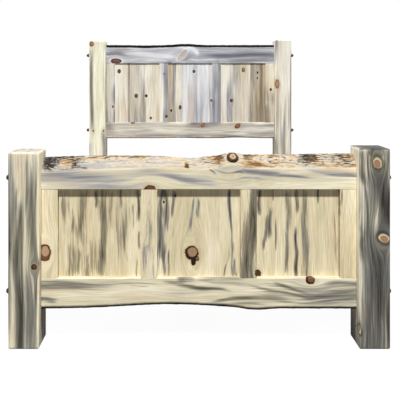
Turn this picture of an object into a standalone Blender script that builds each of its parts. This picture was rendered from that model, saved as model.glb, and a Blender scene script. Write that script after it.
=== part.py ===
"""Rustic timber panel bed: a footboard, a headboard, two side rails and a slatted deck.

Units are metres. +Z is up, +X is to the right as seen from the foot, and +Y runs from the foot
to the head. The origin is on the floor, under the middle of the bed.
"""

import math
from dataclasses import dataclass

import bmesh
import bpy
from mathutils import Vector

# The bed as a whole
BED_WIDTH = 1.727
SIDE_RAIL_LENGTH = 2.060
POST_SIDE = 0.140
POST_ROUNDING = 0.008
SEAT_GAP = 0.0003
EDGE_ROUNDING = 0.003

# Frame-and-panel layout, the same in both ends
STILE_WIDTH = 0.076
OPENINGS = 3
PANEL_THICKNESS = 0.019
GROOVE_DEPTH = 0.012
PANEL_PLAY = 0.0012
TENON_LENGTH = 0.055
TENON_MARGIN = 0.008
STUB_TENON_WIDTH = 0.040

# Footboard
FOOT_POST_HEIGHT = 0.889
FOOT_POST_EXTRA_RIGHT = 0.016
FOOT_SETBACK = 0.042
FOOT_FRAME_THICKNESS = 0.070
FOOT_TENON_THICKNESS = 0.030
FOOT_TOP_UNDERSIDE_DROP = 0.176
FOOT_TOP_FACE = 0.100
FOOT_TOP_CROWN = 0.149
FOOT_BOTTOM_TOP = 0.307
FOOT_BOTTOM_FACE = 0.141
FOOT_BOTTOM_CROWN = 0.147

# Headboard
HEAD_POST_HEIGHT = 1.537
HEAD_POST_EXTRA_RIGHT = 0.006
HEAD_SETBACK = 0.050
HEAD_FRAME_THICKNESS = 0.038
HEAD_TENON_THICKNESS = 0.024
HEAD_TOP_UNDERSIDE_DROP = 0.194
HEAD_TOP_FACE = 0.137
HEAD_TOP_CROWN = 0.159
HEAD_BOTTOM_TOP = 0.834
HEAD_BOTTOM_FACE = 0.134
HEAD_BOTTOM_CROWN = 0.137
BOARDS_PER_OPENING = 3
TONGUE_LENGTH = 0.008
TONGUE_THICKNESS = 0.006
BOARD_CHAMFER = 0.0015

# Live edges: where the crown of the log lies in the rail's thickness, and how round the wane is
RAIL_STATIONS = 40
WANE_STEPS = 3
FOOT_TOP_CROWN_SHARE = 0.80
FOOT_BOTTOM_CROWN_SHARE = 0.45
HEAD_TOP_CROWN_SHARE = 0.60
HEAD_BOTTOM_CROWN_SHARE = 0.40
BACK_DROP = 0.006
WANE_BULGE = 0.004

# Side rails and deck
SIDE_RAIL_THICKNESS = 0.045
SIDE_RAIL_DEPTH = 0.190
SIDE_RAIL_UNDERSIDE = 0.215
SIDE_RAIL_INSET = 0.0515
SIDE_RAIL_END_GAP = 0.0005
LEDGER_SIDE = 0.038
LEDGER_LIFT = 0.006
LEDGER_END_MARGIN = 0.050
SLAT_COUNT = 5
SLAT_WIDTH = 0.090
SLAT_THICKNESS = 0.025
SLAT_END_GAP = 0.004
SLAT_END_MARGIN = 0.160
BEAM_WIDTH = 0.038
BEAM_DEPTH = 0.089
BEAM_END_MARGIN = 0.100
LEG_SIDE = 0.070
LEG_CHEEK = 0.040
LEG_SPACING = 0.900

# Levelling feet under the centre legs
LEVELLER_PAD_RADIUS = 0.020
LEVELLER_PAD_HEIGHT = 0.010
LEVELLER_PAD_ROUNDING = 0.003
LEVELLER_STEM_RADIUS = 0.005
LEVELLER_STEM_LENGTH = 0.045
LEVELLER_STEM_CHAMFER = 0.001
LEVELLER_BORE_EXTRA = 0.003

# Dome-headed bolts that draw the rails into the posts
BOLT_HEAD_RADIUS = 0.0138
BOLT_HEAD_HEIGHT = 0.027
BOLT_DOME_HEIGHT = 0.012
BOLT_WASHER_RADIUS = 0.021
BOLT_WASHER_THICKNESS = 0.004
BOLT_SHANK_RADIUS = 0.0063
BOLT_BITE = 0.075
BOLT_POINT = 0.010
BOLT_HOLE_EXTRA = 0.004
TURNED_STEPS = 16
DOME_STEPS = 4

# Hook-on side rail brackets
BRACKET_HEIGHT = 0.130
BRACKET_WIDTH = 0.030
BRACKET_THICKNESS = 0.003
HOOK_WIDTH = 0.005
HOOK_NECK_HEIGHT = 0.012
HOOK_LIP_DROP = 0.014
HOOK_LIP_THICKNESS = 0.004
HOOK_PITCH = 0.060
HOOK_PLAY = 0.0005
SLOT_PLAY = 0.001
POCKET_DEPTH = 0.012

# How far a cutter runs past the face that it opens, and how far joined shapes overlap
CUT_PAST = 0.006
JOIN_OVERLAP = 0.020

# Values worked out from the driving dimensions
HALF_WIDTH = BED_WIDTH / 2
HALF_LENGTH = SIDE_RAIL_LENGTH / 2 + POST_SIDE
INNER_HALF_WIDTH = HALF_WIDTH - POST_SIDE
SHOULDER = INNER_HALF_WIDTH - SEAT_GAP
OPENING_WIDTH = (2 * INNER_HALF_WIDTH - (OPENINGS + 1) * STILE_WIDTH) / OPENINGS
GROOVE_WIDTH = PANEL_THICKNESS + 2 * SEAT_GAP
POST_FACE_Y = HALF_LENGTH - POST_SIDE
RAIL_END_Y = POST_FACE_Y - SIDE_RAIL_END_GAP
SIDE_RAIL_INNER_X = INNER_HALF_WIDTH + SIDE_RAIL_INSET
SIDE_RAIL_CENTRE_X = SIDE_RAIL_INNER_X + SIDE_RAIL_THICKNESS / 2
SIDE_RAIL_CENTRE_Z = SIDE_RAIL_UNDERSIDE + SIDE_RAIL_DEPTH / 2
LEDGER_TOP = SIDE_RAIL_UNDERSIDE + LEDGER_LIFT + LEDGER_SIDE
SLAT_UNDERSIDE = LEDGER_TOP + SEAT_GAP
BEAM_TOP = SLAT_UNDERSIDE - SEAT_GAP
BEAM_UNDERSIDE = BEAM_TOP - BEAM_DEPTH
LEG_UNDERSIDE = LEVELLER_PAD_HEIGHT + SEAT_GAP

SIDES = {"left": -1, "right": 1}


@dataclass(frozen=True)
class Swell:
    """A rise or dip in a live edge: its place along the rail, its reach and its height."""

    centre: float
    reach: float
    rise: float

    def at(self, x):
        return self.rise * math.exp(-(((x - self.centre) / self.reach) ** 2))


@dataclass(frozen=True)
class LiveEdge:
    """A wavy natural edge: a slope along the rail, with swells where the log had knots."""

    slope: float
    swells: tuple

    def at(self, x):
        return self.slope * x + sum(swell.at(x) for swell in self.swells)


FOOT_TOP_EDGE = LiveEdge(
    0.008, (Swell(-0.70, 0.10, -0.008), Swell(-0.24, 0.09, 0.009), Swell(0.146, 0.05, 0.015))
)
FOOT_TOP_RIDGE = LiveEdge(
    0.014, (Swell(-0.50, 0.25, 0.006), Swell(-0.04, 0.09, -0.012), Swell(0.155, 0.045, 0.012))
)
FOOT_BOTTOM_RIDGE = LiveEdge(0.0, (Swell(-0.13, 0.30, 0.020), Swell(0.26, 0.075, -0.009)))
HEAD_TOP_EDGE = LiveEdge(0.002, (Swell(-0.38, 0.10, -0.006), Swell(-0.04, 0.08, 0.008)))
HEAD_TOP_RIDGE = LiveEdge(0.0, (Swell(-0.38, 0.14, -0.003), Swell(-0.04, 0.11, 0.010)))
HEAD_BOTTOM_RIDGE = LiveEdge(0.0, (Swell(-0.10, 0.12, 0.004), Swell(0.42, 0.13, 0.006)))


@dataclass(frozen=True)
class RailShape:
    """A rail with one straight, grooved edge and one live edge. Up is 1 if the live edge is on top."""

    inner: float
    up: int
    face: float
    crown: float
    edge: LiveEdge
    ridge: LiveEdge
    crown_share: float

    def edge_height(self, x):
        return self.inner + self.up * self.face + self.edge.at(x)

    def crown_height(self, x):
        return self.inner + self.up * self.crown + self.ridge.at(x)

    def tenon_heights(self):
        near = self.inner + self.up * (GROOVE_DEPTH + TENON_MARGIN)
        far = self.inner + self.up * (self.face - GROOVE_DEPTH - TENON_MARGIN)
        return min(near, far), max(near, far)

    def bolt_height(self):
        return sum(self.tenon_heights()) / 2


@dataclass(frozen=True)
class EndShape:
    """One end of the bed. Front is the Y of its posts' faces towards the foot."""

    name: str
    front: float
    post_heights: dict
    setback: float
    thickness: float
    tenon_thickness: float
    top_rail: RailShape
    bottom_rail: RailShape

    @property
    def frame_front(self):
        return self.front + self.setback

    @property
    def frame_back(self):
        return self.frame_front + self.thickness

    @property
    def middle(self):
        return self.frame_front + self.thickness / 2


FOOT_TOP_UNDERSIDE = FOOT_POST_HEIGHT - FOOT_TOP_UNDERSIDE_DROP
HEAD_TOP_UNDERSIDE = HEAD_POST_HEIGHT - HEAD_TOP_UNDERSIDE_DROP

FOOT = EndShape(
    name="foot",
    front=-HALF_LENGTH,
    post_heights={"left": FOOT_POST_HEIGHT, "right": FOOT_POST_HEIGHT + FOOT_POST_EXTRA_RIGHT},
    setback=FOOT_SETBACK,
    thickness=FOOT_FRAME_THICKNESS,
    tenon_thickness=FOOT_TENON_THICKNESS,
    top_rail=RailShape(
        FOOT_TOP_UNDERSIDE, 1, FOOT_TOP_FACE, FOOT_TOP_CROWN,
        FOOT_TOP_EDGE, FOOT_TOP_RIDGE, FOOT_TOP_CROWN_SHARE,
    ),
    bottom_rail=RailShape(
        FOOT_BOTTOM_TOP, -1, FOOT_BOTTOM_FACE, FOOT_BOTTOM_CROWN,
        FOOT_BOTTOM_RIDGE, FOOT_BOTTOM_RIDGE, FOOT_BOTTOM_CROWN_SHARE,
    ),
)
HEAD = EndShape(
    name="head",
    front=HALF_LENGTH - POST_SIDE,
    post_heights={"left": HEAD_POST_HEIGHT, "right": HEAD_POST_HEIGHT + HEAD_POST_EXTRA_RIGHT},
    setback=HEAD_SETBACK,
    thickness=HEAD_FRAME_THICKNESS,
    tenon_thickness=HEAD_TENON_THICKNESS,
    top_rail=RailShape(
        HEAD_TOP_UNDERSIDE, 1, HEAD_TOP_FACE, HEAD_TOP_CROWN,
        HEAD_TOP_EDGE, HEAD_TOP_RIDGE, HEAD_TOP_CROWN_SHARE,
    ),
    bottom_rail=RailShape(
        HEAD_BOTTOM_TOP, -1, HEAD_BOTTOM_FACE, HEAD_BOTTOM_CROWN,
        HEAD_BOTTOM_RIDGE, HEAD_BOTTOM_RIDGE, HEAD_BOTTOM_CROWN_SHARE,
    ),
)


# Scene, collections and materials


def clear_scene():
    for old in list(bpy.data.objects):
        bpy.data.objects.remove(old)


def new_collection(name):
    made = bpy.data.collections.new(name)
    bpy.context.scene.collection.children.link(made)
    return made


def new_material(name, colour, roughness, metallic):
    material = bpy.data.materials.new(name)
    material.use_nodes = True
    shader = material.node_tree.nodes["Principled BSDF"]
    shader.inputs["Base Color"].default_value = (*colour, 1.0)
    shader.inputs["Roughness"].default_value = roughness
    shader.inputs["Metallic"].default_value = metallic
    material.diffuse_color = (*colour, 1.0)
    return material


clear_scene()
PARTS = new_collection("panel_bed")
CUTTERS = new_collection("cutters")
CREAM_PINE = new_material("cream_pine", (0.72, 0.62, 0.42), 0.45, 0.0)
STAINED_PINE = new_material("blue_stained_pine", (0.45, 0.43, 0.36), 0.45, 0.0)
PANEL_PINE = new_material("panel_pine", (0.66, 0.57, 0.38), 0.45, 0.0)
FRAMING_PINE = new_material("framing_pine", (0.68, 0.54, 0.33), 0.6, 0.0)
DARK_IRON = new_material("dark_iron", (0.035, 0.028, 0.022), 0.5, 1.0)
ZINC_STEEL = new_material("zinc_steel", (0.55, 0.55, 0.54), 0.35, 1.0)


# Shapes


def add_object(name, mesh, location, parent=None, material=None):
    """Links a part to the scene. A part with no parent is a cutter, which stays out of the model."""
    made = bpy.data.objects.new(name, mesh)
    if parent is None:
        CUTTERS.objects.link(made)
        made.hide_render = True
        made.display_type = "WIRE"
        made.location = location
        return made
    PARTS.objects.link(made)
    made.parent = parent
    made.location = Vector(location) - parent.location
    mesh.materials.append(material)
    return made


def add_assembly(name, location):
    empty = bpy.data.objects.new(name, None)
    empty.location = location
    PARTS.objects.link(empty)
    return empty


def block(name, low, high, parent=None, material=None, rounding=0.0):
    """A box between two corners in the bed's frame, with its origin at its centre."""
    low, high = Vector(low), Vector(high)
    mesh = bpy.data.meshes.new(name)
    shape = bmesh.new()
    bmesh.ops.create_cube(shape, size=1.0)
    bmesh.ops.scale(shape, vec=high - low, verts=shape.verts)
    shape.to_mesh(mesh)
    shape.free()
    made = add_object(name, mesh, (low + high) / 2, parent, material)
    if rounding:
        round_edges(made, rounding)
    return made


def round_edges(part, width):
    bevel = part.modifiers.new("rounded_edges", "BEVEL")
    bevel.width = width
    bevel.segments = 2


def cut(part, cutter):
    boolean = part.modifiers.new(cutter.name, "BOOLEAN")
    boolean.operation = "DIFFERENCE"
    boolean.object = cutter


def join(part, addition):
    boolean = part.modifiers.new(addition.name, "BOOLEAN")
    boolean.operation = "UNION"
    boolean.object = addition


def turned(name, profile, location, parent, material, turn=0.0):
    """A lathe-turned piece. The profile is (radius, height) pairs from its top to its foot."""
    mesh = bpy.data.meshes.new(name)
    edges = [(i, i + 1) for i in range(len(profile) - 1)]
    mesh.from_pydata([(radius, 0.0, height) for radius, height in profile], edges, [])
    made = add_object(name, mesh, location, parent, material)
    made.rotation_euler.y = turn
    screw = made.modifiers.new("turned", "SCREW")
    screw.steps = screw.render_steps = TURNED_STEPS
    screw.use_merge_vertices = True
    screw.merge_threshold = 0.00001
    screw.use_smooth_shade = True
    return made


def rod_cutter(name, radius, start, end):
    """A round cutter between two points on a line along X or Z."""
    start, end = Vector(start), Vector(end)
    mesh = bpy.data.meshes.new(name)
    shape = bmesh.new()
    bmesh.ops.create_cone(
        shape, cap_ends=True, segments=TURNED_STEPS,
        radius1=radius, radius2=radius, depth=(end - start).length,
    )
    shape.to_mesh(mesh)
    shape.free()
    made = add_object(name, mesh, (start + end) / 2)
    made.rotation_mode = "QUATERNION"
    made.rotation_quaternion = (end - start).to_track_quat("Z", "Y")
    return made


def loft(name, sections, parent, material):
    """A closed skin over a row of like outlines, with a face over each end."""
    mesh = bpy.data.meshes.new(name)
    shape = bmesh.new()
    rings = [[shape.verts.new(point) for point in section] for section in sections]
    for ring, after in zip(rings, rings[1:]):
        for i, corner in enumerate(ring):
            before = i - 1
            shape.faces.new((ring[before], corner, after[i], after[before]))
    shape.faces.new(rings[0])
    shape.faces.new(rings[-1])
    bmesh.ops.recalc_face_normals(shape, faces=shape.faces)
    shape.to_mesh(mesh)
    shape.free()
    return add_object(name, mesh, parent.location, parent, material)


# Framed ends


def rail_section(rail, end, x):
    """The rail's outline at one place along it, round from the straight edge over the live one."""
    front, back = end.frame_front - end.front, end.frame_back - end.front
    crown_y = front + rail.crown_share * end.thickness
    edge, crown = rail.edge_height(x), rail.crown_height(x)
    outline = [(front, rail.inner), (back, rail.inner), (back, crown - rail.up * BACK_DROP)]
    for step in range(WANE_STEPS + 1):
        share = step / WANE_STEPS
        bulge = WANE_BULGE * math.sin(math.pi * share)
        y = crown_y + (front - crown_y) * share
        outline.append((y, crown + (edge - crown) * share + rail.up * bulge))
    return [(x, y, z) for y, z in outline]


def build_rail(name, rail, end, parent, material):
    """A live-edge rail with its tenons, the groove for the panels and its bolt holes."""
    stations = [SHOULDER * (2 * i / RAIL_STATIONS - 1) for i in range(RAIL_STATIONS + 1)]
    part = loft(name, [rail_section(rail, end, x) for x in stations], parent, material)
    bottom, top = rail.tenon_heights()
    half = end.tenon_thickness / 2
    for side, sign in SIDES.items():
        tip = sign * (SHOULDER + TENON_LENGTH)
        root = sign * (SHOULDER - JOIN_OVERLAP)
        low = (min(tip, root), end.middle - half, bottom)
        high = (max(tip, root), end.middle + half, top)
        join(part, block(f"{name}_tenon_{side}", low, high))
    floor, past = sorted((rail.inner - rail.up * CUT_PAST, rail.inner + rail.up * GROOVE_DEPTH))
    low = (-SHOULDER - CUT_PAST, end.middle - GROOVE_WIDTH / 2, floor)
    high = (SHOULDER + CUT_PAST, end.middle + GROOVE_WIDTH / 2, past)
    cut(part, block(f"{name}_groove", low, high))
    for side, sign in SIDES.items():
        deep = INNER_HALF_WIDTH - BOLT_BITE - BOLT_HOLE_EXTRA
        shallow = SHOULDER + TENON_LENGTH + CUT_PAST
        ends = [(sign * x, end.middle, rail.bolt_height()) for x in (deep, shallow)]
        cut(part, rod_cutter(f"{name}_bolt_hole_{side}", BOLT_SHANK_RADIUS + SEAT_GAP, *ends))
    return part


def build_post(end, side, parent, material):
    """A square post with mortises and bolt holes for the rails, and the seat of a bracket plate."""
    name = f"{end.name}_post_{side}"
    sign = SIDES[side]
    xs = sorted((sign * INNER_HALF_WIDTH, sign * HALF_WIDTH))
    low = (xs[0], end.front, 0)
    high = (xs[1], end.front + POST_SIDE, end.post_heights[side])
    part = block(name, low, high, parent, material, POST_ROUNDING)
    half = end.tenon_thickness / 2 + SEAT_GAP
    for level, rail in (("upper", end.top_rail), ("lower", end.bottom_rail)):
        bottom, top = rail.tenon_heights()
        blind = SHOULDER + TENON_LENGTH + PANEL_PLAY
        xs = sorted((sign * blind, sign * (INNER_HALF_WIDTH - CUT_PAST)))
        low = (xs[0], end.middle - half, bottom - SEAT_GAP)
        high = (xs[1], end.middle + half, top + SEAT_GAP)
        cut(part, block(f"{name}_{level}_mortise", low, high))
        reach = (blind - CUT_PAST, HALF_WIDTH + CUT_PAST)
        ends = [(sign * x, end.middle, rail.bolt_height()) for x in reach]
        cut(part, rod_cutter(f"{name}_{level}_bolt_hole", BOLT_SHANK_RADIUS + SEAT_GAP, *ends))
    cut_bracket_seat(part, end, side)
    return part


def build_bolt(end, side, level, rail, parent):
    """A dome-headed lag bolt with its washer, drawn from its crown to its point."""
    dome_base = BOLT_WASHER_THICKNESS + BOLT_HEAD_HEIGHT - BOLT_DOME_HEIGHT
    tip = -(POST_SIDE + BOLT_BITE)
    profile = [
        (BOLT_HEAD_RADIUS * math.sin(angle), dome_base + BOLT_DOME_HEIGHT * math.cos(angle))
        for angle in (math.pi / 2 * i / DOME_STEPS for i in range(DOME_STEPS + 1))
    ]
    profile += [
        (BOLT_HEAD_RADIUS, BOLT_WASHER_THICKNESS),
        (BOLT_WASHER_RADIUS, BOLT_WASHER_THICKNESS),
        (BOLT_WASHER_RADIUS, 0.0),
        (BOLT_SHANK_RADIUS, 0.0),
        (BOLT_SHANK_RADIUS, tip + BOLT_POINT),
        (0.0, tip),
    ]
    sign = SIDES[side]
    place = (sign * (HALF_WIDTH + SEAT_GAP), end.middle, rail.bolt_height())
    name = f"rail_bolt_{end.name}_{side}_{level}"
    return turned(name, profile, place, parent, DARK_IRON, sign * math.pi / 2)


def opening_starts():
    """The left edge of each panel opening."""
    pitch = OPENING_WIDTH + STILE_WIDTH
    return [-INNER_HALF_WIDTH + STILE_WIDTH + i * pitch for i in range(OPENINGS)]


def build_upright(name, end, left, grooves, parent, material):
    """A stile or muntin: stub tenons in the rails' grooves, and a groove on each panel side."""
    bottom, top = end.bottom_rail.inner + SEAT_GAP, end.top_rail.inner - SEAT_GAP
    right = left + STILE_WIDTH
    low = (left + SEAT_GAP, end.frame_front, bottom)
    high = (right - SEAT_GAP, end.frame_back, top)
    part = block(name, low, high, parent, material, EDGE_ROUNDING)
    centre = (left + right) / 2
    stub = GROOVE_DEPTH - 2 * SEAT_GAP
    low = (centre - STUB_TENON_WIDTH / 2, end.middle - PANEL_THICKNESS / 2, bottom - stub)
    high = (centre + STUB_TENON_WIDTH / 2, end.middle + PANEL_THICKNESS / 2, top + stub)
    join(part, block(f"{name}_stub_tenons", low, high))
    for edge, sign in grooves:
        floor = (left if sign < 0 else right) - sign * GROOVE_DEPTH
        past = (left if sign < 0 else right) + sign * CUT_PAST
        low = (min(floor, past), end.middle - GROOVE_WIDTH / 2, bottom - stub - CUT_PAST)
        high = (max(floor, past), end.middle + GROOVE_WIDTH / 2, top + stub + CUT_PAST)
        cut(part, block(f"{name}_{edge}_groove", low, high))
    return part


def build_uprights(end, parent, end_material, middle_material):
    """Two end stiles beside the posts and the muntins between the openings."""
    left_groove, right_groove = ("left", -1), ("right", 1)
    starts = opening_starts()
    build_upright(
        f"{end.name}_stile_left", end, -INNER_HALF_WIDTH, [right_groove], parent, end_material
    )
    for side, start in zip(SIDES, starts[1:]):
        build_upright(
            f"{end.name}_muntin_{side}", end, start - STILE_WIDTH,
            [left_groove, right_groove], parent, middle_material,
        )
    build_upright(
        f"{end.name}_stile_right", end, INNER_HALF_WIDTH - STILE_WIDTH,
        [left_groove], parent, end_material,
    )


def panel_heights(end):
    """The bottom and top of a panel that stands in the grooves of the two rails."""
    bottom = end.bottom_rail.inner - GROOVE_DEPTH + SEAT_GAP
    return bottom, end.top_rail.inner + GROOVE_DEPTH - PANEL_PLAY


def build_foot_panels(end, parent):
    """One wide edge-glued panel for each opening, free to move in its grooves."""
    reach = GROOVE_DEPTH - PANEL_PLAY
    half = PANEL_THICKNESS / 2
    bottom, top = panel_heights(end)
    for place, start in zip(("left", "middle", "right"), opening_starts()):
        low = (start - reach, end.middle - half, bottom)
        high = (start + OPENING_WIDTH + reach, end.middle + half, top)
        block(f"{end.name}_panel_{place}", low, high, parent, PANEL_PINE)


def build_head_boards(end, parent):
    """Tongue-and-groove boards standing side by side in each opening."""
    pitch = OPENING_WIDTH / BOARDS_PER_OPENING
    number = 0
    for start in opening_starts():
        for i in range(BOARDS_PER_OPENING):
            number += 1
            first, last = i == 0, i == BOARDS_PER_OPENING - 1
            build_board(number, end, start + i * pitch, pitch, first, last, parent)


def build_board(number, end, start, width, first, last, parent):
    """One board. Its outer edges stand in a stile; its inner ones have a tongue or a groove."""
    name = f"head_board_{number}"
    bottom, top = panel_heights(end)
    half = PANEL_THICKNESS / 2
    reach = GROOVE_DEPTH - PANEL_PLAY
    left = start - reach if first else start + SEAT_GAP
    right = start + width + reach if last else start + width - SEAT_GAP
    low = (left, end.middle - half, bottom)
    high = (right, end.middle + half, top)
    part = block(name, low, high, parent, PANEL_PINE)
    chamfer = part.modifiers.new("chamfer", "BEVEL")
    chamfer.width = BOARD_CHAMFER
    chamfer.segments = 1
    tongue = TONGUE_THICKNESS / 2
    if not last:
        low = (right - JOIN_OVERLAP, end.middle - tongue, bottom + BOARD_CHAMFER)
        high = (right + TONGUE_LENGTH, end.middle + tongue, top - BOARD_CHAMFER)
        join(part, block(f"{name}_tongue", low, high))
    if not first:
        slot = tongue + SEAT_GAP
        low = (left - CUT_PAST, end.middle - slot, bottom - CUT_PAST)
        high = (left + TONGUE_LENGTH + PANEL_PLAY, end.middle + slot, top + CUT_PAST)
        cut(part, block(f"{name}_groove", low, high))


def build_end(end, stile_material, muntin_material, rail_material, post_materials):
    """The posts, rails, uprights and bolts of one end, and the empty that carries them."""
    parent = add_assembly(f"{end.name}board", (0, end.front, 0))
    for side in SIDES:
        build_post(end, side, parent, post_materials[side])
    for level, rail in (("top", end.top_rail), ("bottom", end.bottom_rail)):
        build_rail(f"{end.name}_{level}_rail", rail, end, parent, rail_material)
    build_uprights(end, parent, stile_material, muntin_material)
    for side in SIDES:
        for level, rail in (("upper", end.top_rail), ("lower", end.bottom_rail)):
            build_bolt(end, side, level, rail, parent)
    return parent


# Side rail brackets


def hook_necks():
    """The underside of each hook's neck, one above the other on the bracket."""
    middle = SIDE_RAIL_CENTRE_Z - HOOK_NECK_HEIGHT / 2
    return middle - HOOK_PITCH / 2, middle + HOOK_PITCH / 2


def along(end, near, far):
    """Two Y values, given as distances from the bed's middle towards that end, in rising order."""
    sign = -1 if end is FOOT else 1
    return sorted((sign * near, sign * far))


def bracket_box(end, side, near, far, half_width, bottom, top):
    """Corners of a box at a corner of the bed, centred on the side rail's thickness."""
    centre = SIDES[side] * SIDE_RAIL_CENTRE_X
    near_y, far_y = along(end, near, far)
    return (centre - half_width, near_y, bottom), (centre + half_width, far_y, top)


def cut_bracket_seat(post, end, side):
    """A shallow seat for the slotted plate, and the pocket that its hooks drop into."""
    half_height = BRACKET_HEIGHT / 2 + SEAT_GAP
    low, high = bracket_box(
        end, side, POST_FACE_Y - CUT_PAST, POST_FACE_Y + BRACKET_THICKNESS + SEAT_GAP,
        BRACKET_WIDTH / 2 + SEAT_GAP,
        SIDE_RAIL_CENTRE_Z - half_height, SIDE_RAIL_CENTRE_Z + half_height,
    )
    cut(post, block(f"{post.name}_plate_seat", low, high))
    lower, upper = hook_necks()
    low, high = bracket_box(
        end, side, POST_FACE_Y - CUT_PAST, POST_FACE_Y + BRACKET_THICKNESS + POCKET_DEPTH,
        HOOK_WIDTH / 2 + 2 * SLOT_PLAY,
        lower - HOOK_LIP_DROP - SLOT_PLAY, upper + HOOK_NECK_HEIGHT + HOOK_LIP_DROP + SLOT_PLAY,
    )
    cut(post, block(f"{post.name}_hook_pocket", low, high))


def build_bracket(end, side, parent):
    """The slotted plate let into the post and the hook plate let into the side rail's end."""
    where = f"{end.name}_{side}"
    bottom = SIDE_RAIL_CENTRE_Z - BRACKET_HEIGHT / 2
    top = SIDE_RAIL_CENTRE_Z + BRACKET_HEIGHT / 2
    half = BRACKET_WIDTH / 2
    plate = block(
        f"post_plate_{where}",
        *bracket_box(end, side, POST_FACE_Y, POST_FACE_Y + BRACKET_THICKNESS, half, bottom, top),
        parent, ZINC_STEEL,
    )
    hooks = block(
        f"hook_plate_{where}",
        *bracket_box(end, side, RAIL_END_Y - BRACKET_THICKNESS, RAIL_END_Y, half, bottom, top),
        parent, ZINC_STEEL,
    )
    lip_near = POST_FACE_Y + BRACKET_THICKNESS + HOOK_PLAY
    lip_far = lip_near + HOOK_LIP_THICKNESS
    for neck in hook_necks():
        neck_top = neck + HOOK_NECK_HEIGHT
        slot = bracket_box(
            end, side, POST_FACE_Y - CUT_PAST, POST_FACE_Y + BRACKET_THICKNESS + CUT_PAST,
            HOOK_WIDTH / 2 + SLOT_PLAY, neck - SEAT_GAP, neck_top + HOOK_LIP_DROP + SLOT_PLAY,
        )
        cut(plate, block(f"{plate.name}_slot", *slot))
        arm = bracket_box(
            end, side, RAIL_END_Y - BRACKET_THICKNESS / 2, lip_far, HOOK_WIDTH / 2, neck, neck_top
        )
        join(hooks, block(f"{hooks.name}_neck", *arm))
        lip = bracket_box(
            end, side, lip_near, lip_far, HOOK_WIDTH / 2 - SEAT_GAP,
            neck - HOOK_LIP_DROP, neck_top - SEAT_GAP,
        )
        join(hooks, block(f"{hooks.name}_lip", *lip))


# Side rails and deck


def build_side_rail(side, parent):
    """A plank on edge between the posts, with a seat for the hook plate in each end."""
    sign = SIDES[side]
    half = SIDE_RAIL_THICKNESS / 2
    centre = sign * SIDE_RAIL_CENTRE_X
    low = (centre - half, -RAIL_END_Y, SIDE_RAIL_UNDERSIDE)
    high = (centre + half, RAIL_END_Y, SIDE_RAIL_UNDERSIDE + SIDE_RAIL_DEPTH)
    rail = block(f"side_rail_{side}", low, high, parent, CREAM_PINE, EDGE_ROUNDING)
    half_height = BRACKET_HEIGHT / 2 + SEAT_GAP
    for end in (FOOT, HEAD):
        seat = bracket_box(
            end, side, RAIL_END_Y - BRACKET_THICKNESS - SEAT_GAP, RAIL_END_Y + CUT_PAST,
            BRACKET_WIDTH / 2 + SEAT_GAP,
            SIDE_RAIL_CENTRE_Z - half_height, SIDE_RAIL_CENTRE_Z + half_height,
        )
        cut(rail, block(f"{rail.name}_{end.name}_plate_seat", *seat))


def build_ledger(side, parent):
    """The strip along the foot of a side rail that the slats lie on."""
    outer = SIDES[side] * (SIDE_RAIL_INNER_X - SEAT_GAP)
    inner = SIDES[side] * (SIDE_RAIL_INNER_X - SEAT_GAP - LEDGER_SIDE)
    reach = RAIL_END_Y - LEDGER_END_MARGIN
    low = (min(outer, inner), -reach, LEDGER_TOP - LEDGER_SIDE)
    high = (max(outer, inner), reach, LEDGER_TOP)
    block(f"ledger_{side}", low, high, parent, FRAMING_PINE, EDGE_ROUNDING)


def build_slats(parent):
    """Cross slats, evenly spaced from the foot to the head."""
    half_length = SIDE_RAIL_INNER_X - SLAT_END_GAP
    first = -RAIL_END_Y + SLAT_END_MARGIN
    pitch = -2 * first / (SLAT_COUNT - 1)
    for i in range(SLAT_COUNT):
        centre = first + i * pitch
        low = (-half_length, centre - SLAT_WIDTH / 2, SLAT_UNDERSIDE)
        high = (half_length, centre + SLAT_WIDTH / 2, SLAT_UNDERSIDE + SLAT_THICKNESS)
        block(f"slat_{i + 1}", low, high, parent, FRAMING_PINE, EDGE_ROUNDING)


def build_centre_beam(parent):
    reach = RAIL_END_Y - BEAM_END_MARGIN
    low = (-BEAM_WIDTH / 2, -reach, BEAM_UNDERSIDE)
    high = (BEAM_WIDTH / 2, reach, BEAM_TOP)
    block("centre_beam", low, high, parent, FRAMING_PINE, EDGE_ROUNDING)


def build_centre_leg(where, station, parent):
    """A leg whose forked top straddles the beam, with a bore for its levelling foot."""
    half = LEG_SIDE / 2
    name = f"centre_leg_{where}"
    low = (-half, station - half, LEG_UNDERSIDE)
    high = (half, station + half, BEAM_UNDERSIDE + LEG_CHEEK)
    leg = block(name, low, high, parent, FRAMING_PINE, EDGE_ROUNDING)
    fork_half = BEAM_WIDTH / 2 + SEAT_GAP
    low = (-fork_half, station - half - CUT_PAST, BEAM_UNDERSIDE - SEAT_GAP)
    high = (fork_half, station + half + CUT_PAST, BEAM_UNDERSIDE + LEG_CHEEK + CUT_PAST)
    cut(leg, block(f"{name}_fork", low, high))
    bore_top = LEVELLER_PAD_HEIGHT + LEVELLER_STEM_LENGTH + LEVELLER_BORE_EXTRA
    ends = [(0, station, z) for z in (LEG_UNDERSIDE - CUT_PAST, bore_top)]
    cut(leg, rod_cutter(f"{name}_bore", LEVELLER_STEM_RADIUS + SEAT_GAP, *ends))


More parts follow.
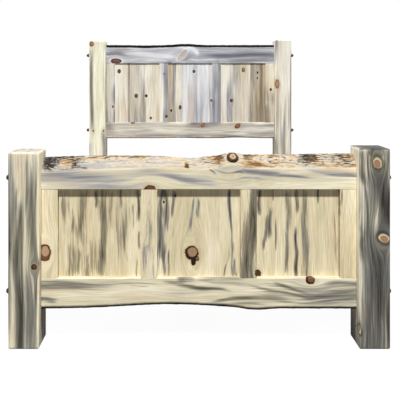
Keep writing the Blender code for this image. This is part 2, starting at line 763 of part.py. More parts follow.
def build_leveller(where, station, parent):
    """A levelling foot: a threaded stem on a round pad, with its origin on the stem's axis."""
    stem_top = LEVELLER_PAD_HEIGHT + LEVELLER_STEM_LENGTH
    soft = LEVELLER_PAD_ROUNDING
    profile = [
        (0.0, stem_top),
        (LEVELLER_STEM_RADIUS - LEVELLER_STEM_CHAMFER, stem_top),
        (LEVELLER_STEM_RADIUS, stem_top - LEVELLER_STEM_CHAMFER),
        (LEVELLER_STEM_RADIUS, LEVELLER_PAD_HEIGHT),
        (LEVELLER_PAD_RADIUS - soft, LEVELLER_PAD_HEIGHT),
        (LEVELLER_PAD_RADIUS, LEVELLER_PAD_HEIGHT - soft),
        (LEVELLER_PAD_RADIUS, 0.0),
        (0.0, 0.0),
    ]
    turned(f"leveller_{where}", profile, (0, station, 0), parent, ZINC_STEEL)


def build_bed():
    footboard = build_end(
        FOOT, CREAM_PINE, CREAM_PINE, STAINED_PINE, {"left": CREAM_PINE, "right": STAINED_PINE}
    )
    build_foot_panels(FOOT, footboard)
    headboard = build_end(
        HEAD, CREAM_PINE, STAINED_PINE, STAINED_PINE, {"left": CREAM_PINE, "right": CREAM_PINE}
    )
    build_head_boards(HEAD, headboard)
    frame = add_assembly("side_rails_and_deck", (0, 0, 0))
    for side in SIDES:
        build_side_rail(side, frame)
        build_ledger(side, frame)
        for end in (FOOT, HEAD):
            build_bracket(end, side, frame)
    build_slats(frame)
    build_centre_beam(frame)
    for where, sign in (("foot", -1), ("head", 1)):
        station = sign * LEG_SPACING / 2
        build_centre_leg(where, station, frame)
        build_leveller(where, station, frame)


build_bed()
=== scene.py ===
"""Dresses the panel bed: blue-stained pine timbers, live edges, iron bolts, slat deck and studio."""

import logging
import math
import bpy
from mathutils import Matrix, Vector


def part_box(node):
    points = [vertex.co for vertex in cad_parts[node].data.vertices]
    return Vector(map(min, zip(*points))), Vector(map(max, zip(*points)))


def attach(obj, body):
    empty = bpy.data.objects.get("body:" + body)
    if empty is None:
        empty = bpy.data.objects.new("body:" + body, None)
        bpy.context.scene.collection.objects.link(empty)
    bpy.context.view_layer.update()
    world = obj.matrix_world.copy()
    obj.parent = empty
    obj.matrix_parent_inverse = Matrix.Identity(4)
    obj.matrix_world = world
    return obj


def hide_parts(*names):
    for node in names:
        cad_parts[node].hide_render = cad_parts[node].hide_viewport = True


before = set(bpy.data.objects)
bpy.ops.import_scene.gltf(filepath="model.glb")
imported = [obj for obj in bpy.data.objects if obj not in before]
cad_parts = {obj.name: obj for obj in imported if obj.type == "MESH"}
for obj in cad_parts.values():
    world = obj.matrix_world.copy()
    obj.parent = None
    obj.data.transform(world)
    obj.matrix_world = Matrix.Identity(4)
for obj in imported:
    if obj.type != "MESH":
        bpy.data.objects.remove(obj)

import zlib
from dataclasses import dataclass, replace
from enum import Enum
from functools import partial
from typing import Callable

import bpy
import numpy as np
from bpy.types import Material, Node, NodeSocket, NodeTree, Object
from mathutils import Vector

Array = np.ndarray
Adder = Callable[..., NodeSocket]
Sockets = dict[str, NodeSocket]
Inputs = dict[str | int, object] | tuple[object, ...]
Stops = tuple[tuple[float, str], ...]

LOG = logging.getLogger("panel_bed")
ROOT_BODY = "bed"
MM = 0.001

# Sizes that the solids keep inside their joints, so that the dressed timbers meet the same way
GROOVE_WIDTH = 19.6 * MM
GROOVE_DEPTH = 12 * MM
TONGUE_LENGTH = 8 * MM
TONGUE_THICKNESS = 6 * MM
TENON_CLEAR = 0.3 * MM
FLANK_DEPTH = 0.1 * MM

# Socket numbers of a Mix node, whose sockets share their names
SHARE, FLOAT_A, FLOAT_B, COLOUR_A, COLOUR_B = 0, 2, 3, 6, 7

# Points on each quarter circle of a rounded corner
ARC_POINTS = 5

# Wave lengths, in metres, of surfaces that tools, growth or the forge leave uneven, and the shares to
# which planed faces and wanes are shortened along the grain, so that their waves run with it
PLANED_WAVES = (0.34, 0.21, 0.13, 0.08)
PLANED_RUN = 0.5
EDGE_WAVES = (0.19, 0.11, 0.067, 0.041)
WANE_WAVES = (0.05, 0.034, 0.026, 0.02, 0.015)
WANE_RUN = 0.6
STUB_WAVES = (0.05, 0.03, 0.017, 0.011)
FORGED_WAVES = (0.019, 0.013, 0.009)


class Grain(Enum):
    """The way a timber's fibres run, as the world axes that lie across, along and through it."""

    UPRIGHT = (0, 2, 1)
    CROSSWISE = (2, 0, 1)
    LENGTHWISE = (2, 1, 0)
    SLATWISE = (1, 0, 2)


class Face(Enum):
    """A long face of a timber: its depth axis is through (0) or across (1), at the low or high end."""

    FRONT = (0, 0)
    BACK = (0, 1)
    LOW = (1, 0)
    HIGH = (1, 1)


# Small helpers


def linear(code: str) -> tuple[float, float, float, float]:
    """Turns an sRGB hex colour into linear RGBA.

    Args:
        code: Colour such as "#d9ceb0".

    Returns:
        Linear red, green, blue and an alpha of one.
    """
    parts = [int(code[i:i + 2], 16) / 255 for i in (1, 3, 5)]
    bright = [c / 12.92 if c <= 0.04045 else ((c + 0.055) / 1.055) ** 2.4 for c in parts]
    return (*bright, 1.0)


def feed(tree: NodeTree, node: Node, inputs: Inputs) -> None:
    """Sets a node's inputs.

    Args:
        tree: Node tree that holds the node.
        node: The node.
        inputs: Socket name or index to a value, or to the output socket that is linked to it, or just
            the values and sockets in order.
    """
    for key, value in inputs.items() if isinstance(inputs, dict) else enumerate(inputs):
        if isinstance(value, NodeSocket):
            tree.links.new(value, node.inputs[key])
        else:
            node.inputs[key].default_value = value


def add_node(tree: NodeTree, kind: str, inputs: Inputs = (), stops: Stops = (), take: str = "",
             **settings: object) -> NodeSocket | None:
    """Adds a shader node.

    Args:
        tree: Node tree that takes the node.
        kind: Blender's name for the node type, without its first part.
        inputs: Its inputs, as feed takes them.
        stops: Positions and hex colours of a colour ramp.
        take: Name of the output to give back, where it isn't the first one in use.
        **settings: Properties of the node.

    Returns:
        The output socket, or nothing for a node without one.
    """
    made = tree.nodes.new(f"ShaderNode{kind}")
    for name, value in settings.items():
        setattr(made, name, value)
    for place, (position, code) in enumerate(stops):
        elements = made.color_ramp.elements
        element = elements[place] if place < 2 else elements.new(position)
        element.position, element.color = position, linear(code)
    feed(tree, made, inputs)
    return made.outputs[take] if take else next((one for one in made.outputs if one.enabled), None)


def new_material(name: str) -> tuple[Material, NodeTree, Node]:
    """Makes a material that has nodes.

    Args:
        name: Its name.

    Returns:
        The material, its node tree and the shader in it.
    """
    made = bpy.data.materials.new(name)
    made.use_nodes = True
    return made, made.node_tree, made.node_tree.nodes["Principled BSDF"]


def smooth_step(low: float, high: float, value: Array) -> Array:
    """Rises from zero to one between two values along a cubic with flat ends."""
    share = np.clip((value - low) / (high - low), 0.0, 1.0)
    return share * share * (3.0 - 2.0 * share)


def ripple(seed: int, spots: Array, lengths: tuple[float, ...]) -> Array:
    """A gentle uneven field: a sum of sine waves with seeded directions and phases.

    Args:
        seed: Fixes the waves.
        spots: Points of any dimension, one row each.
        lengths: Wave length of each wave, in metres.

    Returns:
        One value for each point, about minus one to one.
    """
    rng = np.random.default_rng(seed)
    total = np.zeros(len(spots))
    for length in lengths:
        way = rng.normal(size=spots.shape[1])
        way /= np.linalg.norm(way)
        total += np.sin(2 * np.pi * (spots @ way) / length + rng.uniform(0, 2 * np.pi))
    return total / len(lengths)


def seed_of(name: str) -> int:
    """A number that is always the same for the same name."""
    return zlib.crc32(name.encode())


def mesh_object(name: str, points: Array, quads: Array, fans: Array, crease: float = 38.0) -> Object:
    """Makes a mesh object from arrays, with its faces pointing out and its round parts smooth.

    Args:
        name: Name of the object.
        points: Vertices, one row each, in the bed's frame.
        quads: Four vertex numbers for each quad.
        fans: Three vertex numbers for each triangle.
        crease: Angle in degrees past which an edge stays sharp.

    Returns:
        The linked object, sitting at the origin.
    """
    corners = np.concatenate([quads[:, [0, 1, 2]], quads[:, [0, 2, 3]], fans])
    a, b, c = (points[corners[:, i]] for i in range(3))
    if np.einsum("ij,ij->i", a, np.cross(b, c)).sum() < 0:
        quads, fans = quads[:, ::-1], fans[:, ::-1]
    mesh = bpy.data.meshes.new(name)
    loops = np.concatenate([quads.ravel(), fans.ravel()]).astype(np.int32)
    starts = np.concatenate([np.arange(len(quads)) * 4, len(quads) * 4 + np.arange(len(fans)) * 3])
    mesh.vertices.add(len(points))
    mesh.vertices.foreach_set("co", points.astype(np.float32).ravel())
    mesh.loops.add(len(loops))
    mesh.loops.foreach_set("vertex_index", loops)
    mesh.polygons.add(len(starts))
    mesh.polygons.foreach_set("loop_start", starts.astype(np.int32))
    mesh.update(calc_edges=True)
    mesh.validate()
    mesh.shade_smooth()
    mesh.set_sharp_from_angle(angle=math.radians(crease))
    made = bpy.data.objects.new(name, mesh)
    bpy.context.scene.collection.objects.link(made)
    return made


def skin(rings: Array) -> tuple[Array, Array, Array]:
    """Closes a row of rings into one surface: quads between rings and a fan of triangles on each end.

    Args:
        rings: Array of rings by points by three coordinates.

    Returns:
        Vertices, quads and triangles.
    """
    rows, count, _ = rings.shape
    points = np.concatenate([rings.reshape(-1, 3), rings[[0, -1]].mean(axis=1)])
    row, column = np.meshgrid(np.arange(rows - 1), np.arange(count), indexing="ij")
    here, after = (row * count + column).ravel(), (row * count + (column + 1) % count).ravel()
    quads = np.stack([here, after, after + count, here + count], axis=1)
    edge, following = np.arange(count), (np.arange(count) + 1) % count
    last = (rows - 1) * count
    first_fan = np.stack([following, edge, np.full(count, rows * count)], axis=1)
    last_fan = np.stack([last + edge, last + following, np.full(count, rows * count + 1)], axis=1)
    return points, quads, np.concatenate([first_fan, last_fan])


def spaced(start: float, end: float, step: float) -> Array:
    """Evenly spaced values from start to end, at most about a step apart."""
    return np.linspace(start, end, max(2, int(round(abs(end - start) / step)) + 1))


def rounded_outline(width: float, depth: float, radius: float, step: float) -> Array:
    """A rectangle with quarter-circle corners, about the origin, as points round its edge.

    Args:
        width: Size along the first axis.
        depth: Size along the second axis.
        radius: Radius of the corners.
        step: Distance between points on the straight sides.

    Returns:
        Points, one row each, going round once.
    """
    sides = []
    half = np.array([width, depth]) / 2 - radius
    for quarter, sign in enumerate(((1, -1), (1, 1), (-1, 1), (-1, -1))):
        turn = quarter * math.pi / 2 - math.pi / 2 + np.linspace(0, math.pi / 2, ARC_POINTS)
        arc = half * sign + radius * np.stack([np.cos(turn), np.sin(turn)], axis=1)
        sides.append(arc)
    outline = []
    for arc, after in zip(sides, sides[1:] + sides[:1]):
        run = np.linalg.norm(after[0] - arc[-1])
        share = np.linspace(0, 1, max(2, int(round(run / step)) + 1))[1:-1, None]
        outline += [arc, arc[-1] + (after[0] - arc[-1]) * share]
    return np.concatenate(outline)


def outline_normals(outline: Array) -> Array:
    """Unit normals of an anticlockwise outline, square to the way from each point's neighbour to the next.

    Args:
        outline: Points round the outline.

    Returns:
        One normal for each point.
    """
    way = np.roll(outline, -1, axis=0) - np.roll(outline, 1, axis=0)
    normal = np.stack([way[:, 1], -way[:, 0]], axis=1)
    return normal / np.maximum(np.linalg.norm(normal, axis=1, keepdims=True), 1e-9)


# The photograph's viewpoint


@dataclass(frozen=True)
class Viewpoint:
    """The camera: it looks level along +Y, and its frame is shifted down and to the right."""

    x: float = -0.0856
    y: float = -3.641
    z: float = 1.234
    focal_px: float = 548.0
    axis_px: float = 180.2
    axis_py: float = 76.0
    frame_px: float = 400.0
    sensor_mm: float = 36.0

    def on_plane(self, px: float, py: float, plane_y: float) -> tuple[float, float]:
        """The X and Z where the ray through a pixel meets a plane that faces the camera.

        Args:
            px: Pixel column.
            py: Pixel row.
            plane_y: The plane's Y.

        Returns:
            World X and Z.
        """
        size = (plane_y - self.y) / self.focal_px
        return self.x + (px - self.axis_px) * size, self.z - (py - self.axis_py) * size

    def add_camera(self) -> None:
        """Adds the camera and makes it the scene's."""
        data = bpy.data.cameras.new("photo_camera")
        data.sensor_width = self.sensor_mm
        data.lens = self.focal_px / self.frame_px * self.sensor_mm
        data.shift_x = 0.5 - self.axis_px / self.frame_px
        data.shift_y = self.axis_py / self.frame_px - 0.5
        made = bpy.data.objects.new("photo_camera", data)
        made.location = (self.x, self.y, self.z)
        made.rotation_euler = (math.pi / 2, 0, 0)
        bpy.context.scene.collection.objects.link(made)
        bpy.context.scene.camera = made


VIEW = Viewpoint()


# The figure of the wood: knots, stain and the flow of the grain round them


# Knots and streaks that are scattered over the faces that the photograph doesn't show
LEAST_FACE = 30 * MM
KNOT_MARGIN = 0.35
KNOT_RADII_MM = (7, 15)
KNOT_HEARTS = (0.2, 0.9)
KNOT_STRETCHES = (1.0, 1.5)
STREAK_REACHES = (0.04, 0.2)
STREAK_LEAN = 0.03
STREAK_WIDTHS_MM = (6, 18)
STREAK_STRENGTHS = (0.3, 0.8)
STREAK_COVER_SHARE = 0.3

# How far marks go into the wood, how they lie over each other and over a stained ground, and where the
# grain's own coordinate may start
STAIN_DEPTH = 30 * MM
KNOT_DEPTH = 3.0
LARGEST_DEPTH_SHARE = 0.4
STRONGEST_STREAK = 1.5
SAWN_END_DEPTH = 3 * MM
FAR_FROM_KNOTS = 4.0
GROUND_SHARE = 0.5
GRAIN_STARTS = (1, 9)

# The form of knots and streaks: where a heart lies in its knot, how far and how fast the fibres' push
# fades, how a streak sways and tapers, and how the grain and the stain's hue wander along a timber
HEART_OFFSET = (0.1, 0.12)
PUSH_RADIUS = 1.3
PUSH_POWER = 2.3
PUSH_STRETCH = 0.45
BELL_SHARE = 0.74
SWAY_SHARE = 0.4
SWAY_TURN = 7.0
SWAY_PHASE = 4e4
TAPER_IN = (-0.12, 0.28)
TAPER_OUT = (0.72, 1.12)
GRAIN_SWAY = 5 * MM
GRAIN_WAVES = (0.9, 0.55, 0.31)
HUE_SWING = 0.25
HUE_WAVES = (0.6, 0.35, 0.2)


@dataclass(frozen=True)
class Knot:
    """A branch cut through at the face towards the camera, placed by its pixel.

    Heart and rim run from pale, at zero, to dark, at one. Core is the heart's share of the radius,
    and tilt is in radians. A buried branch only bends the grain.
    """

    px: float
    py: float
    radius_mm: float
    heart: float = 0.6
    stretch: float = 1.2
    tilt: float = 0.0
    rim: float = 0.8
    core: float = 0.76
    buried: bool = False


@dataclass(frozen=True)
class Dash:
    """A spindle of colour on the face towards the camera, from pixel to pixel, straight or bowed.

    A higher power gives it a plain middle and crisp sides.
    """

    px: float
    py: float
    end_px: float
    end_py: float
    width_mm: float
    strength: float
    bow_mm: float = 0.0
    power: float = 2.0


@dataclass(frozen=True)
class PlacedKnot:
    """A knot on any face, in the timber's own lateral and along coordinates."""

    face: Face
    lateral: float
    along: float
    look: Knot


@dataclass(frozen=True)
class Streak:
    """A spindle on any face, in the timber's own lateral and along coordinates."""

    face: Face
    start: tuple[float, float]
    end: tuple[float, float]
    width_mm: float
    strength: float
    bow_mm: float = 0.0
    power: float = 2.0


@dataclass(frozen=True)
class Figure:
    """What a timber's surface shows: overall stain and its hue, grain, knots, and three kinds of streak.

    Cool runs from olive stain, at zero, to blue, at one. Clear streaks take the stain away, and warm
    ones are tan heartwood. The sawn ends take up more stain. On the foot posts some blue streaks are
    painted shade, on edges and below the bottom rail, and some clear ones are painted light on lit
    edges and sides.
    """

    cover: float = 0.15
    cool: float = 0.4
    grain: Grain = Grain.UPRIGHT
    knots: tuple[Knot, ...] = ()
    blue: tuple[Dash | Streak, ...] = ()
    clear: tuple[Dash | Streak, ...] = ()
    warm: tuple[Dash | Streak, ...] = ()
    knots_per_m2: float = 9.0
    streaks_per_m2: float = 60.0
    seen_face: bool = True
    end_stain: float = 0.0


@dataclass
class Lumber:
    """A timber's box and figure, which give each of its points a grain coordinate, stain and knots."""

    name: str
    low: Vector
    high: Vector
    figure: Figure

    def __post_init__(self) -> None:
        """Places the photographed marks, and scatters seeded ones over the unseen faces."""
        self.across, self.along, self.through = self.figure.grain.value
        self.knots = [
            PlacedKnot(Face.FRONT, *self.seen_at(mark.px, mark.py), mark) for mark in self.figure.knots
        ]
        self.blue = [self.seen_streak(mark) for mark in self.figure.blue]
        self.clear = [self.seen_streak(mark) for mark in self.figure.clear]
        self.warm = [self.seen_streak(mark) for mark in self.figure.warm]
        self.scatter(np.random.default_rng(seed_of(self.name)))

    def seen_at(self, px: float, py: float) -> tuple[float, float]:
        """Lateral and along coordinates of a pixel on the front face."""
        spot = VIEW.on_plane(px, py, self.low.y)
        return spot if self.figure.grain is Grain.UPRIGHT else spot[::-1]

    def seen_streak(self, mark: Dash | Streak) -> Streak:
        """Puts a dash of the photograph on the front face.

        Args:
            mark: The dash, or a streak that has its face already.

        Returns:
            The streak.
        """
        if isinstance(mark, Streak):
            return mark
        start, end = self.seen_at(mark.px, mark.py), self.seen_at(mark.end_px, mark.end_py)
        return Streak(Face.FRONT, start, end, mark.width_mm, mark.strength, mark.bow_mm, mark.power)

    def scatter(self, rng: np.random.Generator) -> None:
        """Adds seeded knots and streaks to each long face that the photograph doesn't show.

        Args:
            rng: Source of the random places.
        """
        run = self.high[self.along] - self.low[self.along]
        for face in Face:
            axis = self.through if face.value[0] else self.across
            span = self.high[axis] - self.low[axis]
            if face is Face.FRONT and self.figure.seen_face or span < LEAST_FACE:
                continue
            margin = KNOT_MARGIN * span
            for _ in range(rng.poisson(self.figure.knots_per_m2 * span * run)):
                spot = rng.uniform(self.low[axis] + margin, self.high[axis] - margin)
                middle = rng.uniform(self.low[self.along], self.high[self.along])
                sizes = (rng.uniform(*limits) for limits in (KNOT_RADII_MM, KNOT_HEARTS, KNOT_STRETCHES))
                self.knots.append(PlacedKnot(face, spot, middle, Knot(0, 0, *sizes)))
            for _ in range(rng.poisson(self.figure.streaks_per_m2 * span * run)):
                spot = rng.uniform(self.low[axis], self.high[axis])
                middle = rng.uniform(self.low[self.along], self.high[self.along])
                reach = rng.uniform(*STREAK_REACHES)
                lean = rng.normal(0, STREAK_LEAN) * reach
                start, end = (spot - lean, middle - reach), (spot + lean, middle + reach)
                width = rng.uniform(*STREAK_WIDTHS_MM)
                strength = rng.uniform(*STREAK_STRENGTHS) + STREAK_COVER_SHARE * self.figure.cover
                self.blue.append(Streak(face, start, end, width, strength))

    def face_coordinates(self, spots: Array, face: Face) -> tuple[Array, ...]:
        """Coordinates on one of the long faces.

        Args:
            spots: Points in the bed's frame.
            face: The face.

        Returns:
            Lateral and along coordinates, how deep each point lies, and the timber's whole depth.
        """
        turned, far = face.value
        lateral_axis, depth_axis = (self.through, self.across) if turned else (self.across, self.through)
        low, high = self.low[depth_axis], self.high[depth_axis]
        depth = np.abs(spots[:, depth_axis] - (high if far else low))
        return spots[:, lateral_axis], spots[:, self.along], depth, high - low

    def knot_fields(self, spots: Array) -> dict[str, Array]:
        """Nearest knot's rim and heart distances, its tones, and the grain's sideways flow.

        Distances are in knot radii. The heart sits off the middle, so that the rim is thick on one
        side. The fibres pass a knot as water passes a pole: each is pushed aside by a power of the
        knot's size over its distance. Streaks bend with them, but not round a buried branch.

        Args:
            spots: Points in the bed's frame.

        Returns:
            Named fields: knot, heart, heart_tone, rim_tone, and push and bend, which have two columns.
        """
        count = len(spots)
        fields = {"knot": np.full(count, FAR_FROM_KNOTS), "heart": np.full(count, FAR_FROM_KNOTS),
                  "heart_tone": np.zeros(count), "rim_tone": np.zeros(count)}
        push, bend = np.zeros((count, 2)), np.zeros((count, 2))
        for knot in self.knots:
            look, size = knot.look, knot.look.radius_mm * MM
            lateral, along, depth, thickness = self.face_coordinates(spots, knot.face)
            off, up = lateral - knot.lateral, along - knot.along
            cos, sin = math.cos(look.tilt), math.sin(look.tilt)
            side, rise = (off * cos - up * sin) / size, (off * sin + up * cos) / (size * look.stretch)
            deep = depth / min(KNOT_DEPTH * size, LARGEST_DEPTH_SHARE * thickness)
            reach = np.sqrt(side ** 2 + rise ** 2 + deep ** 2)
            heart_side, heart_rise = side - HEART_OFFSET[0], rise - HEART_OFFSET[1]
            core = np.sqrt(heart_side ** 2 + heart_rise ** 2 + deep ** 2) / look.core
            closer = (reach < fields["knot"]) & (not look.buried)
            values = {"knot": reach, "heart": core, "heart_tone": look.heart, "rim_tone": look.rim}
            for name, value in values.items():
                fields[name] = np.where(closer, value, fields[name])
            swirl = np.sqrt((off / size) ** 2 + (PUSH_STRETCH * up / size) ** 2 + deep ** 2)
            aside = off * (PUSH_RADIUS / np.maximum(swirl, PUSH_RADIUS)) ** PUSH_POWER
            column = 1 if knot.face.value[0] else 0
            push[:, column] -= aside
            bend[:, column] -= aside * (not look.buried)
        return {**fields, "push": push, "bend": bend}

    def spindle(self, spots: Array, streak: Streak) -> Array:
        """One streak's strength at each point: a bell across its width that tapers to both ends.

        Args:
            spots: Points in the bed's frame.
            streak: The streak.

        Returns:
            Strength, from zero to the streak's own.
        """
        lateral, along, depth, thickness = self.face_coordinates(spots, streak.face)
        width = streak.width_mm * MM
        start, way = np.array(streak.start), np.array(streak.end) - np.array(streak.start)
        length = np.linalg.norm(way)
        off, up = lateral - start[0], along - start[1]
        share = (off * way[0] + up * way[1]) / length ** 2
        bent = streak.bow_mm * MM * 4 * share * (1 - share) * np.sign(way[1])
        aside = (off * way[1] - up * way[0]) / length - bent
        sway = SWAY_SHARE / streak.power * width * np.sin(SWAY_TURN * share + SWAY_PHASE * width)
        ends = smooth_step(*TAPER_IN, share) * (1 - smooth_step(*TAPER_OUT, share))
        deep = depth / min(STAIN_DEPTH, LARGEST_DEPTH_SHARE * thickness)
        apart = np.abs(aside + sway) / (BELL_SHARE * width)
        return streak.strength * ends * np.exp(-apart ** streak.power - deep ** 2)

    def laid_over(self, spots: Array, streaks: list[Streak]) -> Array:
        """Lays streaks over each other: each takes a share of what is left, and a strong one may pass one.

        Args:
            spots: Points in the bed's frame.
            streaks: The streaks.

        Returns:
            Their joint strength at each point.
        """
        left, strongest = np.ones(len(spots)), np.zeros(len(spots))
        for streak in streaks:
            share = self.spindle(spots, streak)
            left *= 1 - np.minimum(share, 1)
            strongest = np.maximum(strongest, share)
        return np.maximum(1 - left, np.minimum(strongest, STRONGEST_STREAK))

    def paint(self, piece: Object, spots: Array) -> None:
        """Stores the grain coordinate, stain and knots on a piece's points.

        Args:
            piece: Mesh object to mark.
            spots: Its points at rest, in the bed's frame.
        """
        fields = self.knot_fields(spots)
        push, bent = fields.pop("push"), spots.copy()
        bent[:, (self.across, self.through)] += fields.pop("bend")
        seed = seed_of(self.name)
        along = spots[:, self.along]
        sway = ripple(seed, along[:, None], GRAIN_WAVES) * GRAIN_SWAY
        grain = np.stack([
            spots[:, self.across] + sway + push[:, 0],
            spots[:, self.through] + push[:, 1],
            along,
        ], axis=1) + np.random.default_rng(seed).uniform(*GRAIN_STARTS, 3)
        cover = self.figure.cover
        streaked = cover + (1 - GROUND_SHARE * cover) * self.laid_over(bent, self.blue)
        stain = streaked * (1 - self.laid_over(bent, self.clear))
        gap = np.minimum(along - self.low[self.along], self.high[self.along] - along)
        stain += self.figure.end_stain * (gap < SAWN_END_DEPTH)
        hue = self.figure.cool + HUE_SWING * ripple(seed + 1, spots, HUE_WAVES)
        store(piece, "grain", grain)
        store(piece, "stain", stain)
        store(piece, "cool", np.clip(hue, 0, 1))
        store(piece, "warm", np.clip(self.laid_over(bent, self.warm), 0, 1))
        for name, values in fields.items():
            store(piece, name, values)


def store(piece: Object, name: str, values: Array) -> None:
    """Writes a named attribute of a piece.

    Args:
        piece: Mesh object.
        name: The attribute's name.
        values: A value, or a row of three, for each of its points.
    """
    kind, key = ("FLOAT", "value") if values.ndim == 1 else ("FLOAT_VECTOR", "vector")
    attribute = piece.data.attributes.new(name, kind, "POINT")
    attribute.data.foreach_set(key, values.astype(np.float32).ravel())


# Finishes


@dataclass(frozen=True)
class PineFinish:
    """Blue-stained lodgepole pine, planed and clear-coated satin.

    The eye sees cream sapwood with fine fibres, long grey dashes of stain along the grain, tan
    heartwood, brown knots with dark rims and, on live edges, cambium with flecks of bark. Stain
    colours run from faint to nearly black. Fibres, dashes and growth rings are drawn coarser than
    real ones, which are too fine to show.
    """

    name: str
    cream: tuple[str, str, str] = ("#c4b692", "#d7caa8", "#e4dabd")
    olive: tuple[str, str, str, str] = ("#beb292", "#a0957a", "#79715d", "#322e27")
    blue: tuple[str, str, str, str] = ("#bbb6ae", "#95928d", "#636362", "#28282a")
    warm: str = "#c79d68"
    hearts: tuple[str, str, str] = ("#cdb18b", "#8d6549", "#33211a")
    rims: tuple[str, str, str] = ("#d8c8a4", "#704a34", "#1d1412")
    cambium: tuple[str, str, str, str] = ("#9b9792", "#b9af9b", "#a98f6b", "#6a4c31")
    bark: tuple[str, str] = ("#1c1716", "#66472d")
    end_tint: str = "#d7d3e4"
    halo: tuple[str, float] = ("#c79d68", 0.25)
    outline: float = 0.75
    lines: float = 0.08
    wash: float = 0.3
    stain_edge: tuple[float, float] = (0.24, 0.46)
    unrest: float = 0.8
    fibre_mm: tuple[float, float] = (4.2, 100.0)
    dash_mm: tuple[float, float] = (9.0, 150.0)
    zone_mm: tuple[float, float] = (34.0, 420.0)
    drift_mm: tuple[float, float] = (60.0, 520.0)
    scrap_mm: tuple[float, float] = (4.8, 26.0)
    patch_mm: tuple[float, float] = (11.0, 70.0)
    knot_grit_mm: tuple[float, float] = (12.0, 12.0)
    ring_mm: float = 5.0
    gloss: tuple[float, float] = (0.42, 0.56)
    bark_roughness: float = 0.8
    ior: float = 1.47
    specular: float = 0.03
    relief: float = 0.35
    relief_mm: float = 1.2

    def cells(self, add: Adder, grain: NodeSocket, size_mm: tuple[float, float],
              detail: float) -> NodeSocket:
        """Noise drawn out along the grain, with cells of a real size.

        Args:
            add: Adds a node to the material.
            grain: Grain coordinate.
            size_mm: Width and length of the cells.
            detail: How finely they are broken up.

        Returns:
            The noise, about a half on average.
        """
        width, length = (1 / (size * MM) for size in size_mm)
        scaled = add("VectorMath", (grain, (width, width, length)), operation="MULTIPLY")
        return add("TexNoise", {"Vector": scaled, "Scale": 1.0, "Detail": detail, "Roughness": 0.6})

    def material(self) -> Material:
        """Builds the finish's material.

        Returns:
            The material, which reads the attributes that Lumber.paint stores.
        """
        made, tree, shader = new_material(self.name)
        add = partial(add_node, tree)
        names = ("stain", "cool", "warm", "knot", "heart", "heart_tone", "rim_tone", "end", "ring", "bark",
                 "fleck", "rust")
        read = {name: add("Attribute", take="Fac", attribute_name=name) for name in names}
        grain = add("Attribute", take="Vector", attribute_name="grain")
        fibre = self.cells(add, grain, self.fibre_mm, 3.0)
        dash = self.cells(add, grain, self.dash_mm, 3.0)
        wood = self.stained(add, read, grain, fibre, dash)
        knotty = self.knotted(add, read, wood, grain)
        sawn = self.end_grained(add, read, knotty)
        barked, flaky = self.barked(add, read, sawn, grain)
        gloss = add("MapRange", (fibre, 0.3, 0.7, *self.gloss))
        rough = add("Mix", {SHARE: read["bark"], FLOAT_A: gloss, FLOAT_B: self.bark_roughness},
                    data_type="FLOAT")
        height = add("Math", (fibre, 0.35, flaky), operation="MULTIPLY_ADD")
        bump = add("Bump", {"Strength": self.relief, "Distance": self.relief_mm * MM, "Height": height})
        feed(tree, shader, {"Base Color": barked, "Roughness": rough, "IOR": self.ior,
                            "Specular IOR Level": self.specular, "Normal": bump})
        return made

    def stained(self, add: Adder, read: Sockets, grain: NodeSocket, fibre: NodeSocket,
                dash: NodeSocket) -> NodeSocket:
        """Cream and tan wood with fibres, and the stain broken up into dashes.

        The stain on each point plus three sizes of noise gives a level. A part of it, wash, shows
        softly from low levels on and the rest sharply between the levels of stain_edge. The colour
        darkens with the level.

        Args:
            add: Adds a node to the material.
            read: Attribute sockets by name.
            grain: Grain coordinate.
            fibre: Fine noise along the grain.
            dash: Middling noise along the grain.

        Returns:
            The colour.
        """
        drift = self.cells(add, grain, self.drift_mm, 2.0)
        zone = self.cells(add, grain, self.zone_mm, 2.0)
        tone = add("Mix", {SHARE: 0.45, FLOAT_A: drift, FLOAT_B: fibre}, data_type="FLOAT")
        shades = ((0.34, self.cream[0]), (0.62, self.cream[2]), (0.5, self.cream[1]))
        cream = add("ValToRGB", (tone,), stops=shades)
        patchy = add("MapRange", (dash, 0.3, 0.7, 0.5, 1.2))
        tan_share = add("Math", (read["warm"], patchy), operation="MULTIPLY")
        wood = add("Mix", {SHARE: tan_share, COLOUR_A: cream, COLOUR_B: linear(self.warm)}, data_type="RGBA")
        unrest = -2.8
        for noise, weight in ((zone, 1.6), (dash, 2.2), (fibre, 1.8)):
            unrest = add("Math", (noise, weight, unrest), operation="MULTIPLY_ADD")
        swing = add("MapRange", (read["stain"], 0.0, 0.6, 0.55 * self.unrest, self.unrest))
        level = add("Math", (unrest, swing, read["stain"]), operation="MULTIPLY_ADD")
        scaled = add("MapRange", (level, 0.04, 1.4, 0.0, 1.0))
        olive, blue = (
            add("ValToRGB", (scaled,), stops=tuple(zip((0.0, 1.0, 0.3, 0.64), order)))
            for order in ((row[0], row[3], row[1], row[2]) for row in (self.olive, self.blue))
        )
        stain = add("Mix", {SHARE: read["cool"], COLOUR_A: olive, COLOUR_B: blue}, data_type="RGBA")
        soft, crisp = (
            add("MapRange", (level, low, high, 0.0, weight), interpolation_type="SMOOTHSTEP")
            for low, high, weight in ((0.03, 0.7, self.wash), (*self.stain_edge, 0.97 - self.wash))
        )
        share = add("Math", (soft, crisp), operation="ADD")
        mixed = add("Mix", {SHARE: share, COLOUR_A: wood, COLOUR_B: stain}, data_type="RGBA")
        shade = add("MapRange", (fibre, 0.32, 0.68, 1 - self.lines, 1 + self.lines))
        return add("VectorMath", {"Vector": mixed, "Scale": shade}, operation="SCALE")

